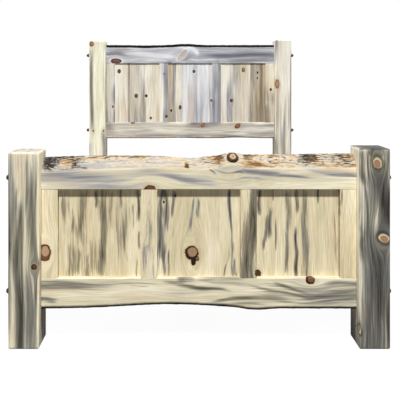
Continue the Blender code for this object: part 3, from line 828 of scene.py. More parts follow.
    def knotted(self, add: Adder, read: Sockets, wood: NodeSocket, grain: NodeSocket) -> NodeSocket:
        """Lays the knots over the wood: a ringed heart with a pith, a rim, and a halo of the finish's hue.

        Args:
            add: Adds a node to the material.
            read: Attribute sockets by name.
            wood: Colour under the knots.
            grain: Grain coordinate, for the noise that roughens the rims.

        Returns:
            The colour.
        """
        grit = self.cells(add, grain, self.knot_grit_mm, 2.0)
        near, core = (
            add("Math", (grit, 0.5, read[name]), operation="MULTIPLY_ADD")
            for name in ("knot", "heart")
        )
        hue, strength = self.halo
        heart, rim = (
            add("ValToRGB", (read[tone],), stops=((0.0, row[0]), (1.0, row[2]), (0.5, row[1])))
            for tone, row in (("heart_tone", self.hearts), ("rim_tone", self.rims))
        )
        turns = add("Math", (core, 30.0), operation="MULTIPLY")
        wave = add("Math", (turns,), operation="SINE")
        shade = add("MapRange", (wave, -1.0, 1.0, 0.0, 0.3))
        pith = add("MapRange", (read["heart"], 0.08, 0.2, 0.6, 0.0))
        halo, to_rim, edge, inside = (
            add("MapRange", (reach, low, high, first, last), interpolation_type="SMOOTHSTEP")
            for reach, low, high, first, last in (
                (near, 1.25, 2.1, strength, 0.0), (core, 1.02, 1.28, 0.0, 0.95),
                (near, 1.0, 1.22, 0.0, self.outline), (near, 1.18, 1.38, 1.0, 0.0),
            )
        )
        rings = add("Math", (shade, pith), operation="MAXIMUM")
        dark = add("Math", (rings, to_rim), operation="MAXIMUM")
        haloed = add("Mix", {SHARE: halo, COLOUR_A: wood, COLOUR_B: linear(hue)}, data_type="RGBA")
        rimmed = add("Mix", {SHARE: dark, COLOUR_A: heart, COLOUR_B: rim}, data_type="RGBA")
        black = linear(self.rims[2])
        outlined = add("Mix", {SHARE: edge, COLOUR_A: rimmed, COLOUR_B: black}, data_type="RGBA")
        return add("Mix", {SHARE: inside, COLOUR_A: haloed, COLOUR_B: outlined}, data_type="RGBA")

    def end_grained(self, add: Adder, read: Sockets, wood: NodeSocket) -> NodeSocket:
        """Darkens sawn ends, more so along the growth rings, which are spaced round the tree's pith.

        Args:
            add: Adds a node to the material.
            read: Attribute sockets by name.
            wood: Colour of the long faces.

        Returns:
            The colour.
        """
        per_metre = 2 * math.pi / (self.ring_mm * MM)
        turns = add("Math", (read["ring"], per_metre), operation="MULTIPLY")
        wave = add("Math", (turns,), operation="SINE")
        soak = add("MapRange", (wave, -1.0, 1.0, 0.75, 1.1))
        share = add("Math", (soak, read["end"]), operation="MULTIPLY")
        return add("Mix", {SHARE: share, COLOUR_A: wood, COLOUR_B: linear(self.end_tint)}, data_type="RGBA",
                   blend_type="MULTIPLY", clamp_factor=False)

    def barked(self, add: Adder, read: Sockets, wood: NodeSocket,
               grain: NodeSocket) -> tuple[NodeSocket, NodeSocket]:
        """Lays cambium and flecks of bark over the live edges.

        Args:
            add: Adds a node to the material.
            read: Attribute sockets by name.
            wood: Colour of the planed wood.
            grain: Grain coordinate.

        Returns:
            The colour, and a height for the bump.
        """
        scraps = self.cells(add, grain, self.scrap_mm, 4.0)
        patch = self.cells(add, grain, self.patch_mm, 3.0)
        mottle = add("MapRange", (patch, 0.2, 0.8, 0.0, 1.0))
        rusty = add("Math", (read["rust"], mottle), operation="ADD")
        grey, pale, tan, brown = self.cambium
        shades = ((0.36, grey), (1.0, brown), (0.54, pale), (0.74, tan))
        cambium = add("ValToRGB", (rusty,), stops=shades)
        cover = add("Math", (read["fleck"], scraps), operation="ADD")
        flaked = add("MapRange", (cover, 0.89, 1.07, 0.0, 0.95), interpolation_type="SMOOTHSTEP")
        scales = add("ValToRGB", (rusty,), stops=((0.55, self.bark[0]), (0.9, self.bark[1])))
        flecked = add("Mix", {SHARE: flaked, COLOUR_A: cambium, COLOUR_B: scales}, data_type="RGBA")
        mixed = add("Mix", {SHARE: read["bark"], COLOUR_A: wood, COLOUR_B: flecked}, data_type="RGBA")
        return mixed, add("Math", (read["bark"], scraps), operation="MULTIPLY")


# The pines of this bed, where they differ from the usual one
WASHED_PINE = PineFinish(
    "washed_blue_pine", cream=("#cabf9f", "#dbd1b2", "#e8e0c7"),
    olive=("#c5bca3", "#a89f89", "#787162", "#302c26"), blue=("#c8c5c3", "#a7a6a8", "#737376", "#2d2d31"),
    wash=0.72, stain_edge=(0.22, 0.7), unrest=0.46, fibre_mm=(4.5, 170.0), dash_mm=(6.0, 300.0),
    zone_mm=(28.0, 600.0),
)
STREAKED_PINE = PineFinish(
    "streaked_blue_pine", cream=("#c9bea0", "#dad0b3", "#e7dfc8"),
    olive=("#c2b99e", "#a59c83", "#757059", "#2d2a22"), blue=("#c6c3bf", "#a3a3a3", "#6e6f72", "#2a2b30"),
    lines=0.12, wash=0.5, stain_edge=(0.22, 0.55), unrest=0.62, fibre_mm=(4.5, 150.0),
    dash_mm=(6.5, 230.0), zone_mm=(30.0, 600.0),
)
DARK_PINE = PineFinish(
    "dark_blue_stained_pine", cream=("#cfc6ae", "#ded6c0", "#e9e2d0"),
    olive=("#aca48c", "#8c8672", "#5e5a4e", "#211f1c"), blue=("#a6a49f", "#82827f", "#54565a", "#1c1c1f"),
    halo=("#2e2b26", 0.8), lines=0.19, wash=0.7, stain_edge=(0.15, 0.5), unrest=0.6,
    fibre_mm=(5.0, 130.0), dash_mm=(6.5, 240.0), zone_mm=(30.0, 500.0),
)
HEAD_PINE = PineFinish(
    "pale_blue_stained_pine", cream=("#d4cfbf", "#e5e1d2", "#f2efe4"),
    olive=("#cbc1ac", "#aca088", "#80725d", "#40382f"), blue=("#cacad0", "#a8aab2", "#797b84", "#3d3d43"),
    warm="#b0946f", wash=0.8, stain_edge=(0.2, 0.8), unrest=0.36, fibre_mm=(8.0, 170.0),
    dash_mm=(13.0, 260.0), zone_mm=(45.0, 600.0),
)
# Its near-black cambium and bark, which only the head's top live edge shows, are dark bark and partly
# painted shade on that turned-back wane
LAVENDER_PINE = replace(
    HEAD_PINE, name="lavender_washed_pine", cream=("#d0d1d4", "#dedfe2", "#eaebee"),
    hearts=("#c4b2a8", "#8a685a", "#3c2a2a"), rims=("#dbd5d0", "#75564b", "#2a2122"),
    cambium=("#4c484a", "#3a3637", "#332c2a", "#29211e"), bark=("#0f0d10", "#2e251f"),
    halo=("#efedf1", 0.5), outline=0.45,
)
FRESH_PINE = replace(HEAD_PINE, name="fresh_sapwood_pine", cream=("#d6d3b9", "#e8e5cb", "#f3f1dc"))
FRAMING_PINE = PineFinish("framing_pine", cream=("#c4a778", "#d6bd90", "#e2cda4"))


@dataclass(frozen=True)
class IronFinish:
    """Blackened wrought iron, hammered and browned: a dull dark metal with rusty patches."""

    name: str = "browned_black_iron"
    black: str = "#1f1b18"
    brown: str = "#5a442c"
    dent_mm: float = 5.0
    metallic: float = 0.85
    gloss: tuple[float, float] = (0.4, 0.65)
    relief: float = 0.5
    relief_mm: float = 0.6

    def material(self) -> Material:
        """Builds the iron's material from noise on object coordinates.

        Returns:
            The material.
        """
        made, tree, shader = new_material(self.name)
        add = partial(add_node, tree)
        place = add("TexCoord", take="Object")
        dents = add("TexNoise", {"Vector": place, "Scale": 1 / (self.dent_mm * MM), "Detail": 3.0})
        patina = add("ValToRGB", (dents,), stops=((0.42, self.black), (0.68, self.brown)))
        rough = add("MapRange", (dents, 0.3, 0.7, *self.gloss))
        bump = add("Bump", {"Strength": self.relief, "Distance": self.relief_mm * MM, "Height": dents})
        feed(tree, shader, {"Metallic": self.metallic, "Base Color": patina, "Roughness": rough,
                            "Normal": bump})
        return made


@dataclass(frozen=True)
class ZincFinish:
    """Zinc-plated pressed steel: a pale grey metal with soft spangles and fine rubbing marks."""

    name: str = "zinc_plated_steel"
    pale: str = "#c9cbca"
    dull: str = "#9c9f9f"
    spangle_mm: float = 9.0
    rub_mm: float = 0.8
    metallic: float = 1.0
    gloss: tuple[float, float] = (0.28, 0.45)

    def material(self) -> Material:
        """Builds the plated steel's material from cells and noise on object coordinates.

        Returns:
            The material.
        """
        made, tree, shader = new_material(self.name)
        add = partial(add_node, tree)
        place = add("TexCoord", take="Object")
        spangle = add("TexVoronoi", {"Vector": place, "Scale": 1 / (self.spangle_mm * MM)})
        rubbing = add("TexNoise", {"Vector": place, "Scale": 1 / (self.rub_mm * MM), "Detail": 2.0})
        tint = add("ValToRGB", (spangle,), stops=((0.1, self.pale), (0.8, self.dull)))
        rough = add("MapRange", (rubbing, 0.3, 0.7, *self.gloss))
        feed(tree, shader, {"Metallic": self.metallic, "Base Color": tint, "Roughness": rough})
        return made


# Timbers


def hang(piece: Object, material: Material, slot: str, node: str = "", body: str = ROOT_BODY) -> None:
    """Gives a piece its finish and its place in the frame, and reports it.

    Args:
        piece: The piece.
        material: Its finish.
        slot: Name of its material slot; not used.
        node: The solid that it replaces, if there is one.
        body: The body that it rides on.
    """
    piece.data.materials.append(material)
    if node:
        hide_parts(node)
    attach(piece, body)
    LOG.info("%s: %d points", piece.name, len(piece.data.vertices))


@dataclass
class Timber:
    """One piece of pine that stands for a solid of the frame."""

    node: str
    figure: Figure
    material: Material
    slot: str

    def dress(self, surface: tuple[Array, Array, Array], low: Vector, high: Vector) -> Object:
        """Paints the wood's figure on a surface and hangs the piece in the frame.

        Args:
            surface: Vertices, quads and triangles.
            low: Lowest corner of the timber's box.
            high: Highest corner.

        Returns:
            The finished piece.
        """
        piece = mesh_object(f"{self.node}_timber", *surface)
        Lumber(self.node, low, high, self.figure).paint(piece, surface[0])
        hang(piece, self.material, self.slot, self.node)
        return piece


@dataclass
class Plank(Timber):
    """A squared timber with soft edges, such as a post, slat or beam, sized by its solid.

    The tree's pith, which its growth rings go round, lies at some shares of its width and depth.
    """

    rounding: float = 3 * MM
    step: float = 4 * MM
    run_step: float = 8 * MM
    unevenness: float = 0.4 * MM
    pith_shares: tuple[float, float] = (0.3, 1.15)

    def build(self) -> None:
        """Carries a rounded rectangle along the grain, drawing it in at both ends for soft arrises.

        The outline is pushed in along its normals by a quarter circle at each end, then shrunk to
        the middle of the end face in even steps.
        """
        low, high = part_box(self.node)
        across, along, through = self.figure.grain.value
        size = high - low
        outline = rounded_outline(size[across], size[through], self.rounding, self.step)
        turn = np.linspace(0, math.pi / 2, ARC_POINTS)
        draw_in = self.rounding * (1 - np.sin(turn))
        rise = self.rounding * (1 - np.cos(turn))
        body = spaced(low[along] + self.rounding, high[along] - self.rounding, self.run_step)[1:-1]
        insets = np.concatenate([draw_in, np.zeros(len(body)), draw_in[::-1]])
        flat = outline - insets[:, None, None] * outline_normals(outline)
        shrink = np.linspace(0, 1, max(3, int(min(size[across], size[through]) / 2 / self.step)))[1:-1]
        start_cap, end_cap = (shrink[:, None, None] * flat[k] for k in (0, -1))
        flat = np.concatenate([start_cap, flat, end_cap[::-1]])
        rings = np.empty((*flat.shape[:2], 3))
        rings[..., across] = flat[..., 0] + (low[across] + high[across]) / 2
        rings[..., through] = flat[..., 1] + (low[through] + high[through]) / 2
        rings[..., along] = np.concatenate([
            np.full(len(shrink), low[along]), low[along] + rise, body,
            (high[along] - rise)[::-1], np.full(len(shrink), high[along]),
        ])[:, None]
        self.roughen(rings, low, high)
        piece = self.dress(skin(rings), low, high)
        self.mark_ends(piece, rings[..., [across, through]], len(shrink))

    def mark_ends(self, piece: Object, flat: Array, caps: int) -> None:
        """Marks the sawn ends, and each point's distance from the tree's pith.

        Args:
            piece: The plank.
            flat: The rings' coordinates across and through the grain.
            caps: How many rings lie on each sawn end.
        """
        end = np.zeros(flat.shape[:2])
        end[:caps] = end[-caps:] = 1.0
        low, high = flat.min(axis=(0, 1)), flat.max(axis=(0, 1))
        pith = low + (high - low) * np.array(self.pith_shares)
        ring = np.linalg.norm(flat - pith, axis=2)
        middle = np.linalg.norm(flat[[0, -1]].mean(axis=1) - pith, axis=1)
        store(piece, "end", np.concatenate([end.ravel(), np.ones(2)]))
        store(piece, "ring", np.concatenate([ring.ravel(), middle]))

    def roughen(self, rings: Array, low: Vector, high: Vector) -> None:
        """Draws the faces in unevenly by under a millimetre, as planing by hand leaves them.

        Args:
            rings: The surface, changed in place.
            low: Lowest corner of the box.
            high: Highest corner of the box.
        """
        across, along, through = self.figure.grain.value
        run = rings[..., along].ravel() * PLANED_RUN
        for number, (axis, other) in enumerate(((across, through), (through, across))):
            middle = (low[axis] + high[axis]) / 2
            spots = np.stack([run, rings[..., other].ravel()], axis=1)
            wave = ripple(seed_of(self.node) + number, spots, PLANED_WAVES)
            dip = 1 - self.unevenness * (1 + wave.reshape(rings.shape[:2])) / (high[axis] - low[axis])
            rings[..., axis] = middle + (rings[..., axis] - middle) * dip

    def raised(self, outline: Array, low: Vector, high: Vector) -> None:
        """Carries an outline, as seen from above, straight up.

        Args:
            outline: Points round the outline.
            low: Lowest corner of the timber's box.
            high: Highest corner.
        """
        heights = spaced(low.z, high.z, self.run_step)
        rings = np.empty((len(heights), len(outline), 3))
        rings[..., :2] = outline
        rings[..., 2] = heights[:, None]
        self.dress(skin(rings), low, high)


@dataclass
class Upright(Plank):
    """A stile or muntin that stands between the rails, grooved on the sides that hold a panel."""

    end: str = "foot"
    grooves: tuple[int, ...] = (-1, 1)

    def build(self) -> None:
        """Fits the upright between the rails' inner edges and carries its grooved outline up."""
        low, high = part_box(self.node)
        low.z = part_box(f"{self.end}_bottom_rail")[1].z + TENON_CLEAR
        high.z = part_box(f"{self.end}_top_rail")[0].z - TENON_CLEAR
        middle = np.array([(low.x + high.x) / 2, (low.y + high.y) / 2])
        self.raised(middle + self.grooved_outline(high.x - low.x, high.y - low.y), low, high)

    def grooved_outline(self, width: float, depth: float) -> Array:
        """The outline seen from above: soft corners and a groove in the middle of the panel sides.

        Args:
            width: Size along X.
            depth: Size along Y.

        Returns:
            Points round the outline.
        """
        outline = rounded_outline(width, depth, self.rounding, self.step)
        half = GROOVE_WIDTH / 2
        for side in self.grooves:
            flank = outline[:, 0] * side > width / 2 - FLANK_DEPTH
            inside = np.flatnonzero(flank & (np.abs(outline[:, 1]) < half))
            mouth, floor = side * width / 2, side * (width / 2 - GROOVE_DEPTH)
            cut = np.array([(mouth, -half), (floor, -half), (floor, half), (mouth, half)])[::side]
            outline = np.concatenate([outline[:inside[0]], cut, outline[inside[-1] + 1:]])
        return outline


@dataclass
class Board(Plank):
    """A tongue-and-groove board of the headboard, with small chamfers beside its joints."""

    first: bool = False
    last: bool = False
    chamfer: float = 2 * MM

    def build(self) -> None:
        """Carries the board's outline, with its tongue and groove, from end to end."""
        low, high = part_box(self.node)
        self.raised(self.jointed_outline(low, high), low, high)

    def jointed_outline(self, low: Vector, high: Vector) -> Array:
        """The board's outline seen from above, anticlockwise from the left end of its front face.

        Args:
            low: Lowest corner of the board's box.
            high: Highest corner, at the tip of the tongue where there is one.

        Returns:
            Points round the outline.
        """
        left, right = low.x, high.x - (0 if self.last else TONGUE_LENGTH)
        front, back, middle = low.y, high.y, (low.y + high.y) / 2
        soft, half = self.chamfer, TONGUE_THICKNESS / 2
        run = spaced(left + soft, right - soft, self.step)
        points = [(x, front) for x in run] + [(right, front + soft)]
        if not self.last:
            points += [(right, middle - half), (high.x, middle - half), (high.x, middle + half),
                       (right, middle + half)]
        points += [(right, back - soft)] + [(x, back) for x in run[::-1]] + [(left, back - soft)]
        if not self.first:
            floor, half = left + TONGUE_LENGTH + TENON_CLEAR, half + TENON_CLEAR
            points += [(left, middle + half), (floor, middle + half), (floor, middle - half),
                       (left, middle - half)]
        return np.array(points + [(left, front + soft)])


@dataclass
class ForkedLeg(Timber):
    """A centre leg whose forked top straddles the centre beam."""

    beam: str = "centre_beam"
    clear: float = 0.25 * MM
    soft: float = 2 * MM

    def build(self) -> None:
        """Carries the fork's outline, a square with a slot as wide as the beam, through the leg.

        The outline's corners lie on a grid of four places along X and three along Z, and the end faces
        are that grid's cells: three under the slot and one in each cheek.
        """
        low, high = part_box(self.node)
        beam_low, beam_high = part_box(self.beam)
        x = np.array([low.x, beam_low.x - self.clear, beam_high.x + self.clear, high.x])
        z = np.array([low.z, beam_low.z, high.z])
        column = np.array([0, 1, 2, 3, 3, 3, 2, 2, 1, 1, 0, 0])
        row = np.array([0, 0, 0, 0, 1, 2, 2, 1, 1, 2, 2, 1])
        count = len(column)
        near, far = (np.stack([x[column], np.full(count, y), z[row]], axis=1) for y in (low.y, high.y))
        here = np.arange(count)
        after = (here + 1) % count
        cells = np.array([(0, 1, 8, 11), (1, 2, 7, 8), (2, 3, 4, 7), (11, 8, 9, 10), (7, 4, 5, 6)])
        sides = np.stack([here, here + count, after + count, after], axis=1)
        quads = np.concatenate([cells, cells[:, ::-1] + count, sides])
        piece = self.dress((np.concatenate([near, far]), quads, np.empty((0, 3), int)), low, high)
        ease = piece.modifiers.new("eased_edges", "BEVEL")
        ease.width = self.soft
        ease.segments = 2


@dataclass(frozen=True)
class Swell:
    """A rise or dip in a live edge: its place along the rail, its reach and its height."""

    centre: float
    reach: float
    rise: float

    def at(self, x: Array) -> Array:
        """The bell-shaped rise at each place along the rail."""
        return self.rise * np.exp(-(((x - self.centre) / self.reach) ** 2))


@dataclass(frozen=True)
class LiveEdge:
    """A wavy natural edge: its distance from the straight edge, a slope, swells and a fine wobble."""

    offset: float
    slope: float = 0.0
    swells: tuple[Swell, ...] = ()
    wobble: float = 0.8 * MM

    def at(self, x: Array, inner: float, up: int, seed: int) -> Array:
        """Heights of the edge along the rail.

        Args:
            x: Places along the rail.
            inner: Height of the rail's straight edge.
            up: One for an edge above it, minus one for an edge below.
            seed: Fixes the wobble.

        Returns:
            One height for each place.
        """
        fine = self.wobble * ripple(seed, x[:, None], EDGE_WAVES)
        return inner + up * self.offset + self.slope * x + sum(s.at(x) for s in self.swells) + fine


@dataclass(frozen=True)
class BarkZone:
    """A patch of a live edge with more bark flecks or rust.

    Its pixel column and half width place it along the rail. Its depth, from zero at the front face's
    edge to one at the back, and its spread place it across.
    """

    px: float
    reach_px: float
    fleck: float
    rust: float
    depth: float = 0.5
    spread: float = 1.5


@dataclass
class LiveRail(Timber):
    """A rail with a straight grooved edge towards the panels and a live edge away from them."""

    end: str = "foot"
    up: int = 1
    edge: LiveEdge = LiveEdge(0.1)
    crown: LiveEdge = LiveEdge(0.14)
    crown_share: float = 0.8
    wane_power: float = 1.0
    bulge: float = 4 * MM
    lumps: float = 1.5 * MM
    back_drop: float = 6 * MM
    arris: float = 2.5 * MM
    shoulder: float = 9 * MM
    step: float = 3.2 * MM
    run_step: float = 4.5 * MM
    fleck: float = 0.2
    rust: float = 0.1
    rim_bark: tuple[float, ...] = (0.5,)
    zones: tuple[BarkZone, ...] = ()
    wane_points: int = 26
    shoulder_share: float = 0.4
    bark_onset: float = 8.0

    def build(self) -> None:
        """Works out the rail's outline at every place along it and skins the row of outlines."""
        low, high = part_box(self.node)
        low.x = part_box(f"{self.end}_post_left")[1].x + TENON_CLEAR
        high.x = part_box(f"{self.end}_post_right")[0].x - TENON_CLEAR
        x = spaced(low.x, high.x, self.run_step)
        sections, bark, depth = self.sections(x, low, high)
        runs = np.broadcast_to(x[:, None, None], (*sections.shape[:2], 1))
        piece = self.dress(skin(np.concatenate([runs, sections], axis=2)), low, high)
        self.mark_bark(piece, x, bark, depth)

    def sections(self, x: Array, low: Vector, high: Vector) -> tuple[Array, ...]:
        """The rail's outline in Y and Z at each place along it.

        It runs along the grooved edge, up the back, over the live edge to the front face's edge and
        down the front. The wane is a curve from the crown to that edge, bulged and lumpy.

        Args:
            x: Places along the rail.
            low: Lowest corner of the solid.
            high: Highest corner of the solid.

        Returns:
            Array of places by points by two, how barky each point of the outline is, and how far
            back it lies.
        """
        seed = seed_of(self.node)
        inner = low.z if self.up > 0 else high.z
        front, back, up, soft = low.y, high.y, self.up, self.arris
        middle = (front + back) / 2
        edge = self.edge.at(x, inner, up, seed)
        crown = self.crown.at(x, inner, up, seed + 1)
        near, far = middle - GROOVE_WIDTH / 2, middle + GROOVE_WIDTH / 2
        floor = inner + up * GROOVE_DEPTH
        groove = [(front + soft, inner), (near, inner), (near, floor), (far, floor), (far, inner),
                  (back - soft, inner)]
        still = np.broadcast_to(np.array(groove), (len(x), len(groove), 2))
        rear_top = crown - up * self.back_drop
        rear = self.straight(np.full(len(x), inner + up * soft), rear_top, back, 2 * self.step)
        share = np.linspace(0, 1, self.wane_points)[1:-1]
        sink = self.shoulder_share * self.shoulder
        wane = self.wane(x, share, front + sink, back, edge, crown, rear_top)
        face = self.straight(edge, np.full(len(x), inner + up * soft), front, self.step)
        below = np.abs(face[..., 1] - edge[:, None]) / self.shoulder
        face[..., 0] += sink * np.clip(1 - below, 0, 1) ** 2
        sections = np.concatenate([still, rear, wane, face], axis=1)
        start = len(groove) + rear.shape[1]
        rim = start + len(share)
        bark = np.zeros(sections.shape[1])
        bark[start:rim] = np.minimum(1, share * self.bark_onset)
        bark[rim:rim + len(self.rim_bark)] = self.rim_bark
        depth = (sections[0, :, 0] - front) / (back - front)
        return sections, bark, depth

    def straight(self, start: Array, end: Array, y: float, step: float) -> Array:
        """A flat upright face of the rail, with the same number of points at every place along it.

        Args:
            start: Height where it starts, at each place.
            end: Height where it ends.
            y: Its Y.
            step: Distance between points, at most.

        Returns:
            Array of places by points by two.
        """
        count = max(2, int(np.abs(end - start).max() / step) + 1)
        share = np.linspace(0, 1, count)
        heights = start[:, None] + (end - start)[:, None] * share
        return np.stack([np.full(heights.shape, y), heights], axis=2)

    def wane(self, x: Array, share: Array, front: float, back: float, edge: Array,
             crown: Array, rear_top: Array) -> Array:
        """The live edge's surface from the back, over the crown, to the front face's edge.

        Args:
            x: Places along the rail.
            share: Shares of the way from back to front.
            front: Y of the front face.
            back: Y of the back face.
            edge: Height of the front face's edge.
            crown: Height of the crown.
            rear_top: Height where the live edge meets the back.

        Returns:
            Array of places by points by two.
        """
        turn = 1 - self.crown_share
        y = back + (front - back) * share
        behind = np.clip((turn - share) / turn, 0, 1)
        ahead = np.clip((share - turn) / self.crown_share, 0, 1)
        z = (
            crown[:, None] + (rear_top - crown)[:, None] * behind ** 2
            + (edge - crown)[:, None] * ahead ** self.wane_power
            + self.up * self.bulge * np.sin(np.pi * ahead)
        )
        spots = np.stack(np.broadcast_arrays(x[:, None] * WANE_RUN, y[None]), axis=2).reshape(-1, 2)
        lump = ripple(seed_of(self.node) + 2, spots, WANE_WAVES)
        fade = np.sin(np.pi * np.clip(share, 0, 1)) ** 0.5
        z = z + self.lumps * lump.reshape(z.shape) * fade
        return np.stack([np.broadcast_to(y, z.shape), z], axis=2)

    def mark_bark(self, piece: Object, x: Array, bark: Array, depth: Array) -> None:
        """Stores where the live edge is, and how flecked and rusty it is along and across the rail.

        Args:
            piece: The rail.
            x: Places along the rail.
            bark: How barky each point of the outline is.
            depth: How far back each point of the outline lies, from zero to one.
        """
        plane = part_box(self.node)[0].y
        fleck, rust = (np.full((len(x), len(bark)), value) for value in (self.fleck, self.rust))
        for zone in self.zones:
            centre, _ = VIEW.on_plane(zone.px, 0, plane)
            edge, _ = VIEW.on_plane(zone.px + zone.reach_px, 0, plane)
            along = np.exp(-(((x - centre) / (edge - centre)) ** 2))
            bell = along[:, None] * np.exp(-(((depth - zone.depth) / zone.spread) ** 2))
            fleck, rust = fleck + zone.fleck * bell, rust + zone.rust * bell
        barks = np.broadcast_to(bark, fleck.shape)
        for name, values in (("bark", barks), ("fleck", fleck), ("rust", rust)):
            store(piece, name, np.concatenate([values.ravel(), np.zeros(2)]))


@dataclass
class BranchStub:
    """The sawn stub of a branch on the foot rail's live edge: pale end grain in a collar of bark."""

    material: Material
    rail: str = "foot_top_rail"
    along: float = 0.157
    setback: float = 34 * MM
    rise: float = 136 * MM
    lean: float = 56.0
    radius: float = 16.5 * MM
    collar: float = 30 * MM
    height: float = 26 * MM
    root: float = 26 * MM
    face_share: float = 0.85
    dome: float = 1.5 * MM
    bark_thickness: float = 1 * MM
    bark_drop: float = 2 * MM
    face_depth: float = 3 * MM
    unevenness: float = 0.07
    steady_radius: float = 9 * MM

    def build(self) -> None:
        """Turns the stub's profile, makes it uneven, leans it towards the foot and sinks its collar.

        The sawn end is a slight dome, and the sides flare by a fourth power to the collar.
        """
        low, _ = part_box(self.rail)
        inner = np.linspace(0.02, 1, 9)
        top = np.stack([inner * self.radius, self.height - self.dome * inner ** 4], axis=1)
        drop = np.linspace(0, 1, 10)[1:]
        flare = self.radius + self.bark_thickness + (self.collar - self.radius) * (1 - (1 - drop) ** 4)
        side = np.stack([flare, self.height - self.bark_drop - (self.height + self.root) * drop], axis=1)
        local, quads, fans = skin(lathe(np.concatenate([top, side]), 56))
        spread = np.linalg.norm(local[:, :2], axis=1)
        wave = ripple(seed_of("stub"), local, STUB_WAVES)
        local[:, :2] *= (1 + self.unevenness * wave * (spread > self.steady_radius))[:, None]
        x, y, z = local.T
        cos, sin = math.cos(math.radians(self.lean)), math.sin(math.radians(self.lean))
        points = np.stack([x, y * cos - z * sin, y * sin + z * cos], axis=1)
        points += np.array([self.along, low.y + self.setback, low.z + self.rise])
        piece = mesh_object(f"{self.rail}_branch_stub", points, quads, fans, 60.0)
        self.mark(piece, local, spread)
        hang(piece, self.material, "blue_stained_pine")

    def mark(self, piece: Object, local: Array, spread: Array) -> None:
        """Marks the sawn end as a knot's heart and the sides as bark.

        Args:
            piece: The stub.
            local: Its points about its own axis.
            spread: Their distance from the axis.
        """
        share = spread / self.radius
        side = ((local[:, 2] < self.height - self.face_depth) | (share > 0.93)).astype(float)
        store(piece, "grain", local + 3.0)
        values = {
            "knot": share * 0.8, "heart": share / self.face_share,
            "heart_tone": 0.5 * np.clip(1 - share / 0.8, 0, 1), "rim_tone": 0.75, "stain": 0.0,
            "cool": 0.5, "warm": 0.2, "bark": side, "fleck": 0.75 * side, "rust": 0.05 * side,
        }
        for name, value in values.items():
            store(piece, name, np.broadcast_to(value, len(local)))


# Ironwork


def lathe(profile: Array, steps: int = 40) -> Array:
    """Turns a profile about the Z axis.

    Args:
        profile: Radius and height pairs.
        steps: Points round the axis.

    Returns:
        Array of rings by points by three coordinates.
    """
    turn = np.linspace(0, 2 * np.pi, steps, endpoint=False)
    circle = np.stack([np.cos(turn), np.sin(turn)], axis=1)
    rings = np.empty((len(profile), steps, 3))
    rings[..., :2] = profile[:, 0][:, None, None] * circle[None]
    rings[..., 2] = profile[:, 1][:, None]
    return rings


def rounded_edge(radius: float, height: float, rounding: float, count: int) -> Array:
    """A quarter circle of a profile, from the top of a turned edge to its side.

    Args:
        radius: Radius of the side.
        height: Height of the top.
        rounding: Radius of the quarter circle.
        count: Points on it.

    Returns:
        Radius and height pairs.
    """
    turn = np.linspace(0, math.pi / 2, count)
    return np.array([radius, height]) - rounding + rounding * np.stack([np.sin(turn), np.cos(turn)], axis=1)


@dataclass
class RailBolt:
    """A forged dome-headed lag bolt on its washer, set in the outer face of a post."""

    node: str
    side: int
    material: Material
    head_radius: float = 13.8 * MM
    head_height: float = 27 * MM
    washer_radius: float = 21 * MM
    washer_thickness: float = 4 * MM
    shank_radius: float = 6.3 * MM
    dent: float = 0.35 * MM
    softness: float = 1.5 * MM
    fillet: float = 0.6 * MM
    taper: float = 10 * MM
    blunt: float = 0.4 * MM
    steady_radius: float = 2 * MM

    def build(self) -> None:
        """Turns the bolt's profile, dents it as forging does, and lays its axis along X."""
        low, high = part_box(self.node)
        above = self.washer_thickness + self.head_height
        seat = high.x - above if self.side > 0 else low.x + above
        rings = lathe(self.profile(high.x - low.x - above))
        x, y, z = rings.reshape(-1, 3).T
        outward = np.stack([np.zeros(len(x)), x, y * self.side], axis=1)
        points = np.array([seat, (low.y + high.y) / 2, (low.z + high.z) / 2]) + outward
        points[:, 0] += z * self.side
        spread = np.linalg.norm(outward, axis=1, keepdims=True)
        wave = ripple(seed_of(self.node), points, FORGED_WAVES)[:, None]
        depth = self.dent * (1 + wave) * (spread > self.steady_radius)
        points -= depth * outward / spread
        piece = mesh_object(f"{self.node}_forged", *skin(points.reshape(rings.shape)), 50.0)
        hang(piece, self.material, "dark_iron", self.node)

    def profile(self, length: float) -> Array:
        """Radius and height from the crown of the dome to the point of the shank.

        Args:
            length: Shank length under the washer.

        Returns:
            Pairs, from the top down.
        """
        turn = np.linspace(0.05, math.pi / 2, 10)
        dome_height = self.head_height / 2
        dome_base = self.washer_thickness + dome_height
        dome = np.stack([self.head_radius * np.sin(turn), dome_base + dome_height * np.cos(turn)], axis=1)
        collar = np.linspace(dome_base, self.washer_thickness + self.softness, 5)[1:]
        neck = np.stack([np.full(len(collar), self.head_radius), collar], axis=1)
        rim = rounded_edge(self.washer_radius, self.washer_thickness, self.softness, 4)
        foot = np.array([
            (self.head_radius + self.fillet, self.washer_thickness), *rim, (self.washer_radius, 0.0),
            (self.shank_radius, 0.0), (self.shank_radius, self.taper - length), (self.blunt, -length),
        ])
        return np.concatenate([dome, neck, foot])


